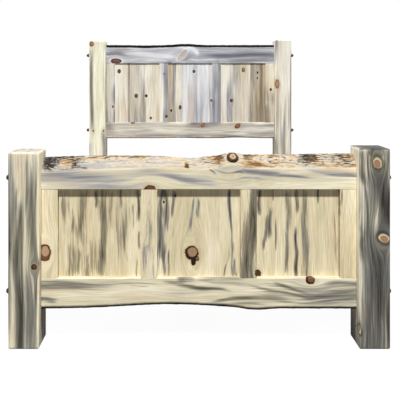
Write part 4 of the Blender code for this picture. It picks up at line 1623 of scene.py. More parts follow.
@dataclass
class Leveller:
    """A levelling foot under a centre leg: a round pad on a threaded stem."""

    node: str
    body: str
    material: Material
    pad_radius: float = 20 * MM
    pad_height: float = 10 * MM
    stem_radius: float = 5 * MM
    pitch: float = 1.5 * MM
    thread_depth: float = 0.35 * MM
    rounding: float = 3 * MM
    chamfer: float = 1 * MM
    fillet: float = 0.4 * MM
    tip: float = 0.3 * MM

    def build(self) -> None:
        """Turns the foot with a threaded stem, each thread a small wave in the radius."""
        low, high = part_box(self.node)
        height = high.z - low.z
        stem = spaced(height - self.chamfer, self.pad_height + self.fillet, self.pitch / 4)
        thread = self.stem_radius - self.thread_depth * (1 + np.sin(2 * np.pi * stem / self.pitch))
        profile = np.concatenate([
            [(self.tip, height), (self.stem_radius - self.chamfer, height)],
            np.stack([thread, stem], axis=1),
            [(self.stem_radius, self.pad_height)],
            rounded_edge(self.pad_radius, self.pad_height, self.rounding, 6),
            [(self.pad_radius, self.chamfer), (self.pad_radius - self.chamfer, 0.0), (self.tip, 0.0)],
        ])
        rings = lathe(profile, 48) + np.array([(low.x + high.x) / 2, (low.y + high.y) / 2, low.z])
        piece = mesh_object(f"{self.node}_turned", *skin(rings))
        hang(piece, self.material, "zinc_steel", self.node, self.body)


@dataclass
class Screws:
    """A set of pan-head screws of zinc-plated steel, sunk in the wood up to their heads.

    The profile has shares of the head's radius and height, from the driver's recess to the wood.
    """

    name: str
    spots: Array
    axis: tuple[float, float, float]
    material: Material
    radius: float = 4.6 * MM
    height: float = 2.4 * MM
    profile: tuple[tuple[float, float], ...] = (
        (0.06, 0.3), (0.26, 0.36), (0.34, 1.0), (0.6, 0.93), (0.86, 0.62), (1.0, 0.2), (1.0, -0.4),
    )

    def build(self) -> None:
        """Turns one head, a low dome with a recess for the driver, and repeats it at every spot."""
        local, quads, fans = skin(lathe(np.array(self.profile) * (self.radius, self.height), 18))
        turn = Vector((0, 0, 1)).rotation_difference(Vector(self.axis)).to_matrix()
        points = (self.spots[:, None] + local @ np.array(turn).T).reshape(-1, 3)
        shift = (np.arange(len(self.spots)) * len(local))[:, None, None]
        piece = mesh_object(self.name, points, (shift + quads).reshape(-1, 4), (shift + fans).reshape(-1, 3))
        hang(piece, self.material, "zinc_steel")


# Studio


@dataclass
class Studio:
    """A pale floor, a key light above the foot, a fill, low lights round the bed and a white surround.

    Tilts are in degrees from overhead, and turns in degrees round the bed from its foot.
    """

    floor_size: float = 60.0
    floor_drop: float = 0.4 * MM
    key_strength: float = 4.95
    key_angle: float = 5.0
    key_tilt: float = 31.5
    fill_strength: float = 0.32
    fill_tilt: float = 80.0
    side_strength: float = 2.1
    side_tilt: float = 72.0
    side_turn: float = 89.0
    rim_strength: float = 0.2
    rim_tilt: float = 70.0
    rim_turn: float = 140.0
    ambient: float = 0.05
    paper_share: float = 0.035

    def build(self) -> None:
        """Adds the floor, the lights and the world."""
        self.add_floor()
        self.add_sun("key", self.key_strength, self.key_tilt, 0.0)
        self.add_sun("fill", self.fill_strength, self.fill_tilt, 0.0)
        for side, name in ((1, "right"), (-1, "left")):
            self.add_sun(f"side_{name}", self.side_strength, self.side_tilt, side * self.side_turn)
            self.add_sun(f"rim_{name}", self.rim_strength, self.rim_tilt, side * self.rim_turn)
        self.add_world()
        bpy.context.scene.view_settings.view_transform = "Standard"

    def add_floor(self) -> None:
        """Adds a flat floor that shows white to the camera and keeps a faint shadow."""
        half = self.floor_size / 2
        grid = np.array([(-half, -half), (half, -half), (half, half), (-half, half)])
        points = np.concatenate([grid, np.full((4, 1), -self.floor_drop)], axis=1)
        floor = mesh_object("studio_floor", points, np.array([[0, 1, 2, 3]]), np.empty((0, 3), int))
        floor.data.materials.append(self.floor_material())

    def floor_material(self) -> Material:
        """White to the camera with a faint shadow, and a mid grey to the light that it sends back.

        Returns:
            The material.
        """
        made, tree, shader = new_material("studio_paper")
        tree.nodes.remove(shader)
        glow = add_node(tree, "Emission", {"Color": linear("#ffffff"), "Strength": 1.0})
        paper = add_node(tree, "BsdfDiffuse", {"Color": linear("#ffffff")})
        white = add_node(tree, "MixShader", (self.paper_share, glow, paper))
        grey = add_node(tree, "BsdfDiffuse", {"Color": linear("#5c5c5c")})
        either = add_node(tree, "MixShader", (self.shown(tree), grey, white))
        feed(tree, tree.nodes["Material Output"], (either,))
        return made

    def shown(self, tree: NodeTree) -> NodeSocket:
        """Tells where the camera sees the surround, straight or by way of metal or glass.

        Args:
            tree: Nodes of the floor or the world.

        Returns:
            One where it does, and zero elsewhere.
        """
        path = add_node(tree, "LightPath").node.outputs
        rays = (path["Is Camera Ray"], path["Is Glossy Ray"])
        seen = add_node(tree, "Math", rays, operation="MAXIMUM")
        return add_node(tree, "Math", (seen, path["Is Transmission Ray"]), operation="MAXIMUM")

    def add_sun(self, name: str, strength: float, tilt: float, turn: float) -> None:
        """Adds a broad sun.

        Args:
            name: Name of the light.
            strength: Its strength.
            tilt: Degrees from straight overhead.
            turn: Degrees round the bed from the foot, towards its right side.
        """
        data = bpy.data.lights.new(name, "SUN")
        data.energy = strength
        data.angle = math.radians(self.key_angle)
        made = bpy.data.objects.new(name, data)
        made.rotation_euler = (math.radians(tilt), 0, math.radians(turn))
        bpy.context.scene.collection.objects.link(made)

    def add_world(self) -> None:
        """Adds a surround that is white to the camera and a low, even fill to the bed."""
        world = bpy.data.worlds.new("surround")
        world.use_nodes = True
        tree = world.node_tree
        strength = add_node(tree, "MapRange", (self.shown(tree), 0.0, 1.0, self.ambient, 1.0))
        feed(tree, tree.nodes["Background"], {"Color": linear("#ffffff"), "Strength": strength})
        bpy.context.scene.world = world


# The bed


# Width of a strip for each pixel between its sides, and the rows from which and to which it runs
STRIP_MM_PER_PX = 6.1
STRIP_TOP = 34
STRIP_FOOT = 152
STRIP_POWER = 8.0


def strip(left: float, right: float, strength: float, top: float = STRIP_TOP,
          foot: float = STRIP_FOOT) -> Dash:
    """A plain upright strip of the headboard, between two pixel columns and from row to row."""
    middle, width = (left + right) / 2, STRIP_MM_PER_PX * (right - left)
    return Dash(middle, top, middle, foot, width, strength, power=STRIP_POWER)


# The marks of each timber that the photograph shows, placed one by one
FIGURES: dict[str, Figure] = {
    "foot_post_left": Figure(
        0.24, 0.45, knots=(Knot(34, 267, 13, 0.8, 1.0, rim=1.0),),
        blue=(
            # Painted shade: this LOW streak and Dash(8.4, ...) darken the outer left edge where it turns
            # from the light, and the HIGH streak darkens the inner side below the bottom rail, where the
            # rail shades it
            Streak(Face.LOW, (-1.15, 0.02), (-1.15, 0.82), 40, 1.1),
            Streak(Face.HIGH, (-1.05, -0.1), (-1.05, 0.2), 60, 1.1), Dash(8.4, 140, 8.6, 330, 5, 1.2),
            Dash(11, 146, 11.6, 246, 18, 0.6), Dash(20, 200, 16.8, 282, 24, 0.75),
            Dash(21, 204, 17.6, 244, 8, 0.9), Dash(17, 234, 16.6, 270, 9, 0.8),
            Dash(22.6, 236, 23, 376, 5, 1.2), Dash(18.6, 250, 19, 400, 32, 1.0),
            Dash(32, 158, 33, 278, 28, 0.75), Dash(35, 180, 35.2, 262, 9, 0.6),
            Dash(27, 156, 26.4, 214, 7, 0.6), Dash(30.4, 186, 28.6, 232, 5, 0.6),
            Dash(31, 268, 30.4, 380, 34, 0.65), Dash(35.4, 276, 35, 346, 8, 0.6),
            Dash(9.6, 238, 10.6, 262, 8, 1.2), Dash(17, 186, 16, 214, 6, 0.5),
            Dash(28, 286, 27.6, 350, 5, 0.5),
        ),
        clear=(
            Dash(11.6, 258, 11.8, 390, 13, 0.75), Dash(25, 214, 24.6, 270, 5, 0.6),
            # Paler wood and painted light: this clear strip lightens the inner edge, where the rounding
            # catches the light
            Dash(37.8, 150, 38, 376, 6, 1.0),
        ),
        warm=(Dash(19, 150, 20, 200, 26, 0.4), Dash(13.5, 296, 14, 340, 8, 0.3)),
    ),
    "foot_post_right": Figure(
        0.5, 0.45, end_stain=0.5,
        knots=(
            Knot(377.6, 162.8, 22, 0.5, 1.3, 2.8, 0.06, 0.74),
            Knot(384, 238.2, 22, 0.5, 1.3, 2.2, 0.06, 0.72),
            Knot(358.8, 329, 10, 0.6, 2.6, -0.25, 0.1),
        ),
        blue=(
            # Painted shade: the LOW streak darkens the inner side below the bottom rail, where the rail
            # shades it
            Streak(Face.LOW, (-1.05, -0.1), (-1.05, 0.2), 60, 1.3), Dash(360.4, 146, 366, 184, 19, 1.8),
            Dash(366, 176, 372, 246, 5, 0.8), Dash(372, 186, 374, 250, 30, 0.25),
            Dash(378, 166, 389, 240, 34, 1.1), Dash(379, 176, 390, 226, 8, 0.7),
            # Stain and painted shade: Dash(390.4, ...) and Dash(390.6, ...) darken the outer right edge,
            # where it turns from the light
            Dash(390.4, 160, 390.6, 260, 15, 1.5), Dash(390.6, 140, 390.6, 372, 5, 1.0),
            Dash(376.5, 146, 375, 156, 22, 0.5), Dash(371.4, 150, 371.6, 182, 4, 0.9),
            Dash(384.6, 150, 384.2, 184, 4, 0.9), Dash(367.6, 226, 368.4, 264, 46, 0.5),
            Dash(378, 246, 380, 312, 44, 0.62), Dash(363, 236, 363.4, 252, 14, 0.6),
            Dash(373, 238, 379, 304, 5, 1.2, 3), Dash(375, 248, 378, 296, 6, 0.8),
            Dash(371, 250, 373, 300, 4, 0.6), Dash(380, 304, 383, 346, 14, 0.5),
            Dash(374, 250, 374, 400, 120, 0.56), Dash(368, 300, 370, 350, 8, 0.3),
            Dash(388.8, 184, 389.6, 236, 10, 1.6), Dash(388.6, 296, 388.8, 356, 12, 0.8),
        ),
        clear=(
            # Paler wood and painted highlight: Dash(359.4, ...) lightens the inner left edge, where the
            # rounding catches the light
            Dash(359.4, 180, 359.8, 270, 7, 0.9), Dash(362.6, 178, 365.8, 236, 5, 0.5),
            Dash(385, 160, 388.8, 194, 9, 0.55), Dash(378.6, 216, 381.6, 236, 7, 0.4),
            Dash(381, 316, 383, 342, 5, 0.3), Dash(364, 254, 365, 300, 24, 0.2),
            # Paler wood and painted light: this streak clears the stain from the lit inner side above the
            # bottom rail
            Streak(Face.LOW, (-1.09, 0.1), (-1.09, 1.1), 110, 1.5),
        ),
        warm=(Dash(378, 180, 389, 236, 16, 0.4), Dash(385, 158, 388, 190, 12, 0.5)),
    ),
    "foot_top_rail": Figure(
        0.13, 0.9, Grain.CROSSWISE,
        knots=(Knot(150, 189.6, 20, 0.75, 1.3), Knot(228.5, 173, 22, buried=True)),
        blue=(
            Dash(-60, 180, 150, 180, 66, 0.46), Dash(40, 175, 100, 177, 12, 0.2),
            Dash(60, 177, 132, 181, 5, 0.2), Dash(96, 184, 142, 179, 10, 0.2),
            Dash(130, 174, 216, 185, 26, 0.36, 10), Dash(160, 176, 226, 188, 16, 0.34),
            Dash(176, 183, 216, 191, 5, 0.5), Dash(170, 178, 221, 181, 30, 0.28),
            Dash(213, 169.4, 244, 170, 5, 0.8, -17), Dash(209, 169.6, 219, 177, 6, 0.9),
            Dash(230, 173.4, 244, 172, 6, 0.8), Dash(236, 172, 280, 174, 15, 0.5),
            Dash(236, 177, 266, 179.4, 8, 0.35), Dash(215, 176.6, 244, 177.2, 4, 0.45, -16),
            Dash(213, 167.8, 244, 167.8, 16, 0.3), Dash(198, 184.6, 252, 184.4, 9, 0.3),
            Dash(240, 171, 312, 177, 12, 0.55), Dash(252, 174, 306, 177.4, 5, 0.6),
            Dash(250, 179, 292, 182, 6, 0.3), Dash(304, 171, 362, 176, 16, 0.5, 4),
            Dash(322, 174, 366, 177, 8, 0.75), Dash(296, 177, 340, 180, 8, 0.3),
        ),
        clear=(
            Dash(142, 182, 216, 192, 10, 0.9, 9), Dash(152, 184, 204, 192, 20, 1.0, 4),
            Dash(214, 176, 244, 176.2, 13, 1.3), Dash(250, 187, 380, 185, 26, 0.9),
            Dash(214, 181.6, 280, 181, 4, 0.8), Dash(211, 173.6, 218, 177, 4, 0.6),
            Dash(130, 186, 146, 184, 8, 0.7, 8), Dash(84, 172, 150, 170, 10, 0.6),
        ),
        warm=(
            Dash(312, 171, 376, 173, 18, 0.75), Dash(150, 171, 196, 174, 16, 0.22),
            Dash(20, 178, 96, 178, 40, 0.35),
        ),
    ),
    "foot_bottom_rail": Figure(
        0.19, 0.3, Grain.CROSSWISE, knots=(Knot(310.4, 280.0, 19, 0.66, 1.1, rim=1.0),),
        blue=(
            Dash(0, 285, 110, 286, 20, 0.6), Dash(50, 283, 92, 284, 6, 0.5),
            Dash(30, 289, 88, 288, 10, 0.5), Dash(34, 299, 58, 300, 20, 0.75),
            Dash(112, 283, 166, 285, 6, 0.45), Dash(128, 286, 150, 287, 4, 0.4),
            Dash(162, 282, 214, 289, 12, 0.8, -3), Dash(188, 287, 230, 290, 8, 0.9),
            Dash(200, 281, 250, 286, 8, 0.3), Dash(210, 302, 256, 297, 9, 0.75, 3),
            Dash(232, 298, 290, 300, 13, 0.6, 4), Dash(214, 304, 262, 303, 8, 0.4),
            Dash(248, 285, 306, 295, 8, 0.7, -3), Dash(274, 282, 312, 292, 9, 0.75, -5),
            Dash(280, 290, 316, 299, 6, 0.7), Dash(304, 297, 362, 287, 9, 0.7, -9),
            Dash(312, 301, 362, 296, 6, 0.7, -5), Dash(326, 283, 366, 283, 12, 0.55),
            Dash(300, 292, 420, 296, 60, 0.7), Dash(262, 299, 318, 303, 7, 0.6),
            Dash(330, 290, 364, 291, 5, 0.6), Dash(250, 294, 340, 296, 50, 0.35),
        ),
        clear=(Dash(62, 297, 172, 291, 12, 0.7), Dash(284, 303, 330, 298, 5, 0.5)),
        warm=(Dash(0, 286, 100, 288, 24, 0.6), Dash(110, 296, 160, 299, 14, 0.2)),
    ),
    "foot_stile_left": Figure(
        0.0, 0.3, streaks_per_m2=10, knots=(Knot(44.6, 252.4, 29, 0.2, 1.35, rim=0.6, core=0.66),),
        blue=(Dash(42.6, 230, 41.4, 248, 3, 0.6),), warm=(Dash(42, 188, 42, 280, 10, 0.3),),
    ),
    "foot_muntin_left": Figure(
        0.0, 0.7, streaks_per_m2=10,
        blue=(
            Dash(152, 190, 145, 270, 26, 0.26), Dash(147, 214, 143, 286, 14, 0.3),
            Dash(154, 236, 152, 286, 14, 0.26),
        ),
    ),
    "foot_muntin_right": Figure(
        0.05, 0.2, knots=(Knot(258.2, 273, 15, 0.8, 1.2),),
        blue=(
            Dash(257, 160, 248, 310, 44, 1.0, 3), Dash(257, 190, 256, 246, 10, 0.5),
            Dash(250, 226, 244, 300, 30, 0.8), Dash(252, 186, 248, 240, 6, 0.4),
        ),
        clear=(Dash(241, 176, 239.5, 254, 13, 0.9),),
    ),
    "foot_stile_right": Figure(0.0, 0.3, streaks_per_m2=10, blue=(Dash(341, 187, 340.5, 220, 8, 0.8),)),
    "foot_panel_left": Figure(
        0.1, 0.1,
        blue=(
            Dash(82, 186, 81, 242, 24, 0.75), Dash(102.5, 186, 103, 278, 24, 0.7),
            Dash(68, 194, 70, 240, 34, 0.3), Dash(90, 232, 88, 284, 40, 0.35),
            Dash(118, 194, 119, 250, 34, 0.34), Dash(74, 240, 72, 282, 40, 0.4),
            Dash(96.5, 190, 96.5, 208, 7, 0.9), Dash(73, 206, 73, 230, 7, 0.6),
            Dash(63, 196, 63, 218, 6, 0.5), Dash(124.5, 206, 125, 262, 11, 0.55),
            Dash(138, 186, 138.5, 224, 10, 1.0), Dash(138.7, 230, 138.7, 250, 6, 0.85),
            Dash(70.5, 252, 69, 278, 10, 0.6), Dash(79, 248, 78, 277, 11, 0.6),
            Dash(88, 254, 87, 278, 10, 0.55), Dash(101, 250, 101, 278, 22, 0.65),
            Dash(136, 256, 136, 278, 8, 0.6), Dash(111, 190, 111, 230, 14, 0.5),
            Dash(121, 186, 121, 208, 9, 0.5), Dash(133, 202, 133, 230, 7, 0.5),
        ),
        warm=(Dash(111, 190, 111, 232, 20, 0.35), Dash(90, 200, 90, 270, 50, 0.2)),
    ),
    "foot_panel_middle": Figure(
        0.03, 0.7,
        knots=(
            Knot(191.8, 252.6, 31, 0.32, 1.0, rim=1.0), Knot(197.2, 258.6, 10, 0.5, 1.0, rim=1.0),
            Knot(193.4, 262, 11, 1.0, 1.5, rim=1.0), Knot(163.8, 202, 4.5, 1.0, 1.4),
            Knot(175, 195.6, 5, 1.0, 1.2),
        ),
        blue=(
            Dash(162, 204, 161.5, 256, 26, 1.0), Dash(167.5, 186, 167.5, 232, 10, 1.0),
            Dash(163, 186, 163, 218, 14, 0.9), Dash(175.2, 188, 174.5, 219, 8, 1.15),
            Dash(162, 232, 165, 262, 10, 1.0), Dash(158.6, 236, 158.6, 274, 10, 0.6),
            Dash(170.5, 200, 170, 232, 5, 0.75), Dash(176, 218, 176, 240, 4, 0.6),
            Dash(167.5, 244, 166, 278, 9, 0.95), Dash(172, 250, 171, 277, 7, 0.8),
            Dash(194.5, 196, 191, 232, 7, 0.5), Dash(198, 198, 197, 220, 8, 0.5),
            Dash(228.3, 186, 228.5, 222, 9, 1.1), Dash(229.5, 212, 230, 250, 7, 0.85),
            Dash(230, 238, 231, 280, 11, 0.9), Dash(228.5, 246, 221.5, 280, 8, 0.75),
            Dash(232, 256, 235.5, 280, 8, 0.75), Dash(179, 250, 178, 278, 6, 0.4),
        ),
    ),
    "foot_panel_right": Figure(
        0.03, 0.25, knots=(Knot(257.4, 274, 17, 0.9, 1.2, rim=0.9),),
        blue=(
            Dash(259.5, 186, 259, 216, 14, 1.0), Dash(270.5, 204, 269, 238, 14, 1.0),
            Dash(268, 212, 262, 254, 10, 1.1), Dash(275.5, 216, 275.3, 252, 5, 0.8),
            Dash(272.5, 186, 272.5, 202, 9, 0.8), Dash(288.5, 190, 288, 234, 18, 0.6),
            Dash(287, 226, 286, 276, 13, 0.55), Dash(296.5, 186, 296.5, 214, 12, 1.0),
            Dash(295.6, 226, 296.4, 260, 9, 1.1), Dash(297, 246, 296, 278, 11, 1.1),
            Dash(305, 184, 305.5, 282, 20, 0.75), Dash(318, 186, 318, 204, 9, 0.6),
            Dash(334.5, 210, 335.5, 266, 6, 0.5), Dash(328, 230, 328, 250, 4, 0.3),
        ),
        warm=(Dash(333, 204, 334.5, 262, 6, 0.5),),
    ),
    "head_post_left": Figure(
        0.1, 0.4,
        knots=(
            Knot(91.6, 44, 18, 0.35, rim=0.5), Knot(93.3, 130.8, 7, 0.7, rim=0.6),
            Knot(103.6, 130.8, 7, 0.7, rim=0.6),
        ),
        blue=(
            Dash(91.2, 46, 91.8, 134, 20, 0.9), Dash(91.4, 98, 92.6, 124, 9, 0.6),
            Dash(103.2, 128, 104.4, 168, 18, 0.65), Dash(102.8, 44, 103.2, 90, 5, 0.2),
        ),
        warm=(
            Dash(91.5, 112, 94, 136, 18, 0.5), Dash(103.6, 126, 103.8, 138, 14, 0.5),
            Dash(90.4, 36, 90.6, 60, 9, 0.7), Dash(105.4, 50, 105.4, 130, 8, 0.8),
        ),
    ),
    "head_post_right": Figure(
        0.2, 0.4, knots=(Knot(277.2, 84, 18, 0.3, 2.0, rim=0.4),),
        blue=(
            Dash(284.4, 94, 284.4, 170, 14, 0.6), Dash(288.2, 90, 288.4, 132, 7, 0.5),
            Dash(290.6, 40, 290.6, 170, 9, 0.9), Dash(283, 122, 283.4, 182, 34, 0.4),
            Dash(277, 94, 277, 176, 12, 0.5), Dash(280.6, 104, 280.8, 150, 7, 0.3),
        ),
        warm=(Dash(277.6, 74, 278, 176, 16, 1.0), Dash(281, 40, 281, 80, 40, 0.12)),
    ),
    "head_top_rail": Figure(
        0.56, 1.0, Grain.CROSSWISE,
        knots=(Knot(116, 61, 22, 0.7, 2.0, rim=0.8), Knot(182.4, 54.8, 21, 0.14, 2.6, 0.85, 0.1)),
        blue=(
            Dash(96, 55, 126, 55, 22, 0.5), Dash(206, 55, 290, 55.6, 22, 0.7),
            Dash(228, 60, 290, 60, 22, 0.4), Dash(214, 57, 262, 56, 8, 0.35),
            Dash(104, 52, 140, 49, 8, 0.2), Dash(176, 61, 190, 56, 9, 0.4),
        ),
        clear=(
            Dash(126, 54, 178, 56, 26, 0.65), Dash(187, 47, 199, 54, 22, 0.9),
            Dash(142, 60, 172, 61, 14, 0.35), Dash(188, 59, 216, 60, 16, 0.35),
            Dash(126, 49, 144, 49, 10, 0.4), Dash(174, 48, 190, 50, 12, 0.5),
        ),
        warm=(
            Dash(98, 61, 122, 61, 20, 0.6), Dash(106, 50, 126, 50, 14, 0.2),
            Dash(250, 60, 290, 60, 18, 0.3),
        ),
    ),
    "head_bottom_rail": Figure(
        0.46, 0.4, Grain.CROSSWISE,
        knots=(
            Knot(132.8, 122.4, 12, 0.7, 1.6), Knot(203, 125, 14, 0.4, 1.6, 0.7, 0.5),
            Knot(237.6, 126, 18, 0.5, 1.5, 0.6, 0.6),
        ),
        blue=(
            Dash(90, 135, 290, 135.6, 14, 0.3), Dash(92, 128, 114, 128, 60, 0.4),
            Dash(244, 133, 280, 133, 16, 0.35), Dash(186, 126, 214, 128, 14, 0.2),
            Dash(222, 132, 244, 130, 7, 0.3),
        ),
        clear=(
            Dash(168, 123, 190, 123.6, 15, 0.6), Dash(254, 123, 282, 123, 14, 0.8),
            Dash(116, 129.6, 142, 130, 14, 0.3), Dash(150, 130, 184, 130.4, 18, 0.35),
            Dash(236, 129.6, 250, 129.6, 10, 0.3),
        ),
    ),
    "head_stile_left": Figure(
        0.46, 0.7, knots=(Knot(113, 106.6, 9, 0.6),), clear=(strip(109, 114, 0.3),),
        warm=(strip(106, 107.6, 0.8), strip(107.6, 113, 0.35, top=84)),
    ),
    "head_muntin_left": Figure(
        0.14, 0.9, knots=(Knot(166.4, 116.3, 11, 0.8), Knot(164.4, 74, 6, 0.9)),
        blue=(strip(163.6, 168, 0.52), strip(160.6, 163.6, 0.25, foot=86)),
    ),
    "head_muntin_right": Figure(
        0.56, 1.0, blue=(strip(213, 215.4, 0.2, top=100), strip(217.4, 222, 0.25)),
        clear=(strip(213, 215.4, 0.25, foot=80),),
    ),
    "head_stile_right": Figure(
        0.2, 0.2, knots=(Knot(270.8, 89.6, 10, 0.9, rim=0.9),),
        blue=(strip(264, 269.6, 0.65, top=82), strip(269.6, 275, 0.25, top=82)),
        warm=(strip(264, 275, 0.35),),
    ),
    "head_board_1": Figure(
        0.14, 0.4, knots=(Knot(119.2, 71.2, 14, 0.75, 1.3),),
        blue=(strip(127.6, 130.8, 0.6), strip(115.6, 119, 0.24, top=98), strip(112, 115.4, 0.1)),
        warm=(strip(121.4, 127.6, 0.25), strip(115, 128, 0.3, top=96)),
    ),
    "head_board_2": Figure(
        0.34, 0.5, knots=(Knot(136.2, 95.8, 15, 0.65),),
        blue=(strip(139.6, 148, 0.36, top=80), strip(133.6, 139.6, 0.26, top=100)),
        warm=(strip(130, 135.6, 0.5), strip(135.6, 139.6, 0.4, foot=104)),
    ),
    "head_board_3": Figure(
        0.03, 0.4, knots=(Knot(146.2, 95.8, 11, 0.9), Knot(150.8, 118, 10, 0.7)),
        blue=(strip(155, 160, 0.16), strip(142, 146.6, 0.22), strip(142, 146.6, 0.4, top=80)),
        warm=(strip(148, 154.6, 0.15, top=66), strip(152, 160, 0.3), strip(155.4, 160, 0.4, top=98)),
    ),
    "head_board_4": Figure(
        0.1, 0.5, knots=(Knot(171.2, 110.5, 10, 0.95), Knot(180.2, 107.4, 12, 0.75, 1.4)),
        blue=(
            strip(166, 173, 0.45, top=78), strip(172.6, 176, 0.6), strip(176, 184, 0.36, top=98),
            strip(179, 184, 0.12),
        ),
        warm=(strip(166, 173, 0.85), strip(175.8, 178.6, 0.25, top=78)),
    ),
    "head_board_5": Figure(
        0.24, 1.0, knots=(Knot(194, 71.4, 13, 0.8),),
        blue=(strip(193.4, 197, 0.25), strip(196.4, 199, 0.4, top=96)),
        warm=(strip(187.4, 196, 0.6, top=80),),
    ),
    "head_board_6": Figure(
        0.18, 1.0, knots=(Knot(211.2, 100.4, 9, 0.5, 1.7),),
        blue=(
            strip(198, 203.6, 0.16, top=76), strip(198, 203.6, 0.32, top=98),
            strip(203.6, 208.6, 0.18, top=78), strip(208.6, 214, 0.33, top=78),
        ),
        warm=(strip(209, 212, 0.4),),
    ),
    "head_board_7": Figure(
        0.1, 0.7, knots=(Knot(231.4, 100.4, 13, 0.8),),
        blue=(
            strip(230, 233, 0.32, foot=92), strip(233, 237, 0.52, foot=94), strip(227, 232.6, 0.6, top=78),
            strip(220, 227, 0.14, top=82),
        ),
        warm=(strip(220, 227, 0.35, top=94), strip(233, 237, 0.5, top=90)),
    ),
    "head_board_8": Figure(
        0.22, 0.4, knots=(Knot(243.4, 69.8, 14, 0.4, 1.4, rim=0.5),),
        blue=(strip(235, 241.6, 0.2, foot=92), strip(235, 241.6, 0.1), strip(248, 252, 0.36, top=78)),
        warm=(strip(241, 248, 0.45), strip(235, 241, 0.3, top=82)),
    ),
    "head_board_9": Figure(
        0.5, 0.2,
        knots=(Knot(257.6, 72.6, 7, 1.0, 1.8, rim=1.0), Knot(257.4, 78, 6, 1.0, 1.6, rim=1.0)),
        blue=(
            strip(250, 257, 0.3), strip(259.6, 262.8, 0.5), strip(256.6, 259.6, 0.3, top=98),
            strip(262.8, 267, 0.2, top=84),
        ),
        clear=(strip(262.8, 267, 0.75, foot=86),), warm=(strip(256.6, 267, 0.9),),
    ),
}

# More and less bark and rust along the live edge of the foot's top rail
FOOT_BARK: tuple[BarkZone, ...] = (
    BarkZone(47, 9, 0.27, -0.12, 0.5, 0.8), BarkZone(60, 13, 0.2, -0.05, 0.9, 0.6),
    BarkZone(66, 5, -0.16, 0.22, 0.45, 0.3), BarkZone(72, 9, 0.22, 0.1, 0.45, 0.6),
    BarkZone(105, 26, 0.27, 0.24, 1.0, 0.45), BarkZone(103, 26, -0.02, -0.18, 0.05, 0.4),
    BarkZone(170, 24, -0.08, -0.05, 0.35, 0.7), BarkZone(81, 9, 0.1, -0.1, 0.05, 0.15),
    BarkZone(137, 9, 0.16, 0.3, 0.9, 0.35), BarkZone(160, 18, 0.16, 0.1, 0.9, 0.5),
    BarkZone(187, 3, 0.3, 0.15, 0.2, 0.25), BarkZone(204, 8, 0.14, 0.0, 0.6, 0.5),
    BarkZone(219, 7, 0.26, 0.3, 0.6, 0.5), BarkZone(240, 4, -0.2, -0.15, 0.6, 0.5),
    BarkZone(253, 13, 0.12, 0.45, 0.15, 0.3), BarkZone(249, 8, 0.34, 0.26, 0.8, 0.3),
    BarkZone(280, 16, 0.14, 0.1), BarkZone(311, 11, 0.34, 0.02, 0.55, 0.45),
    BarkZone(305, 60, -0.06, 0.1, 0.0, 0.3), BarkZone(345, 18, 0.2, 0.14),
)

# The sides of each upright that hold a panel
GROOVES: dict[str, tuple[int, ...]] = {
    "stile_left": (1,), "muntin_left": (-1, 1), "muntin_right": (-1, 1), "stile_right": (-1,),
}


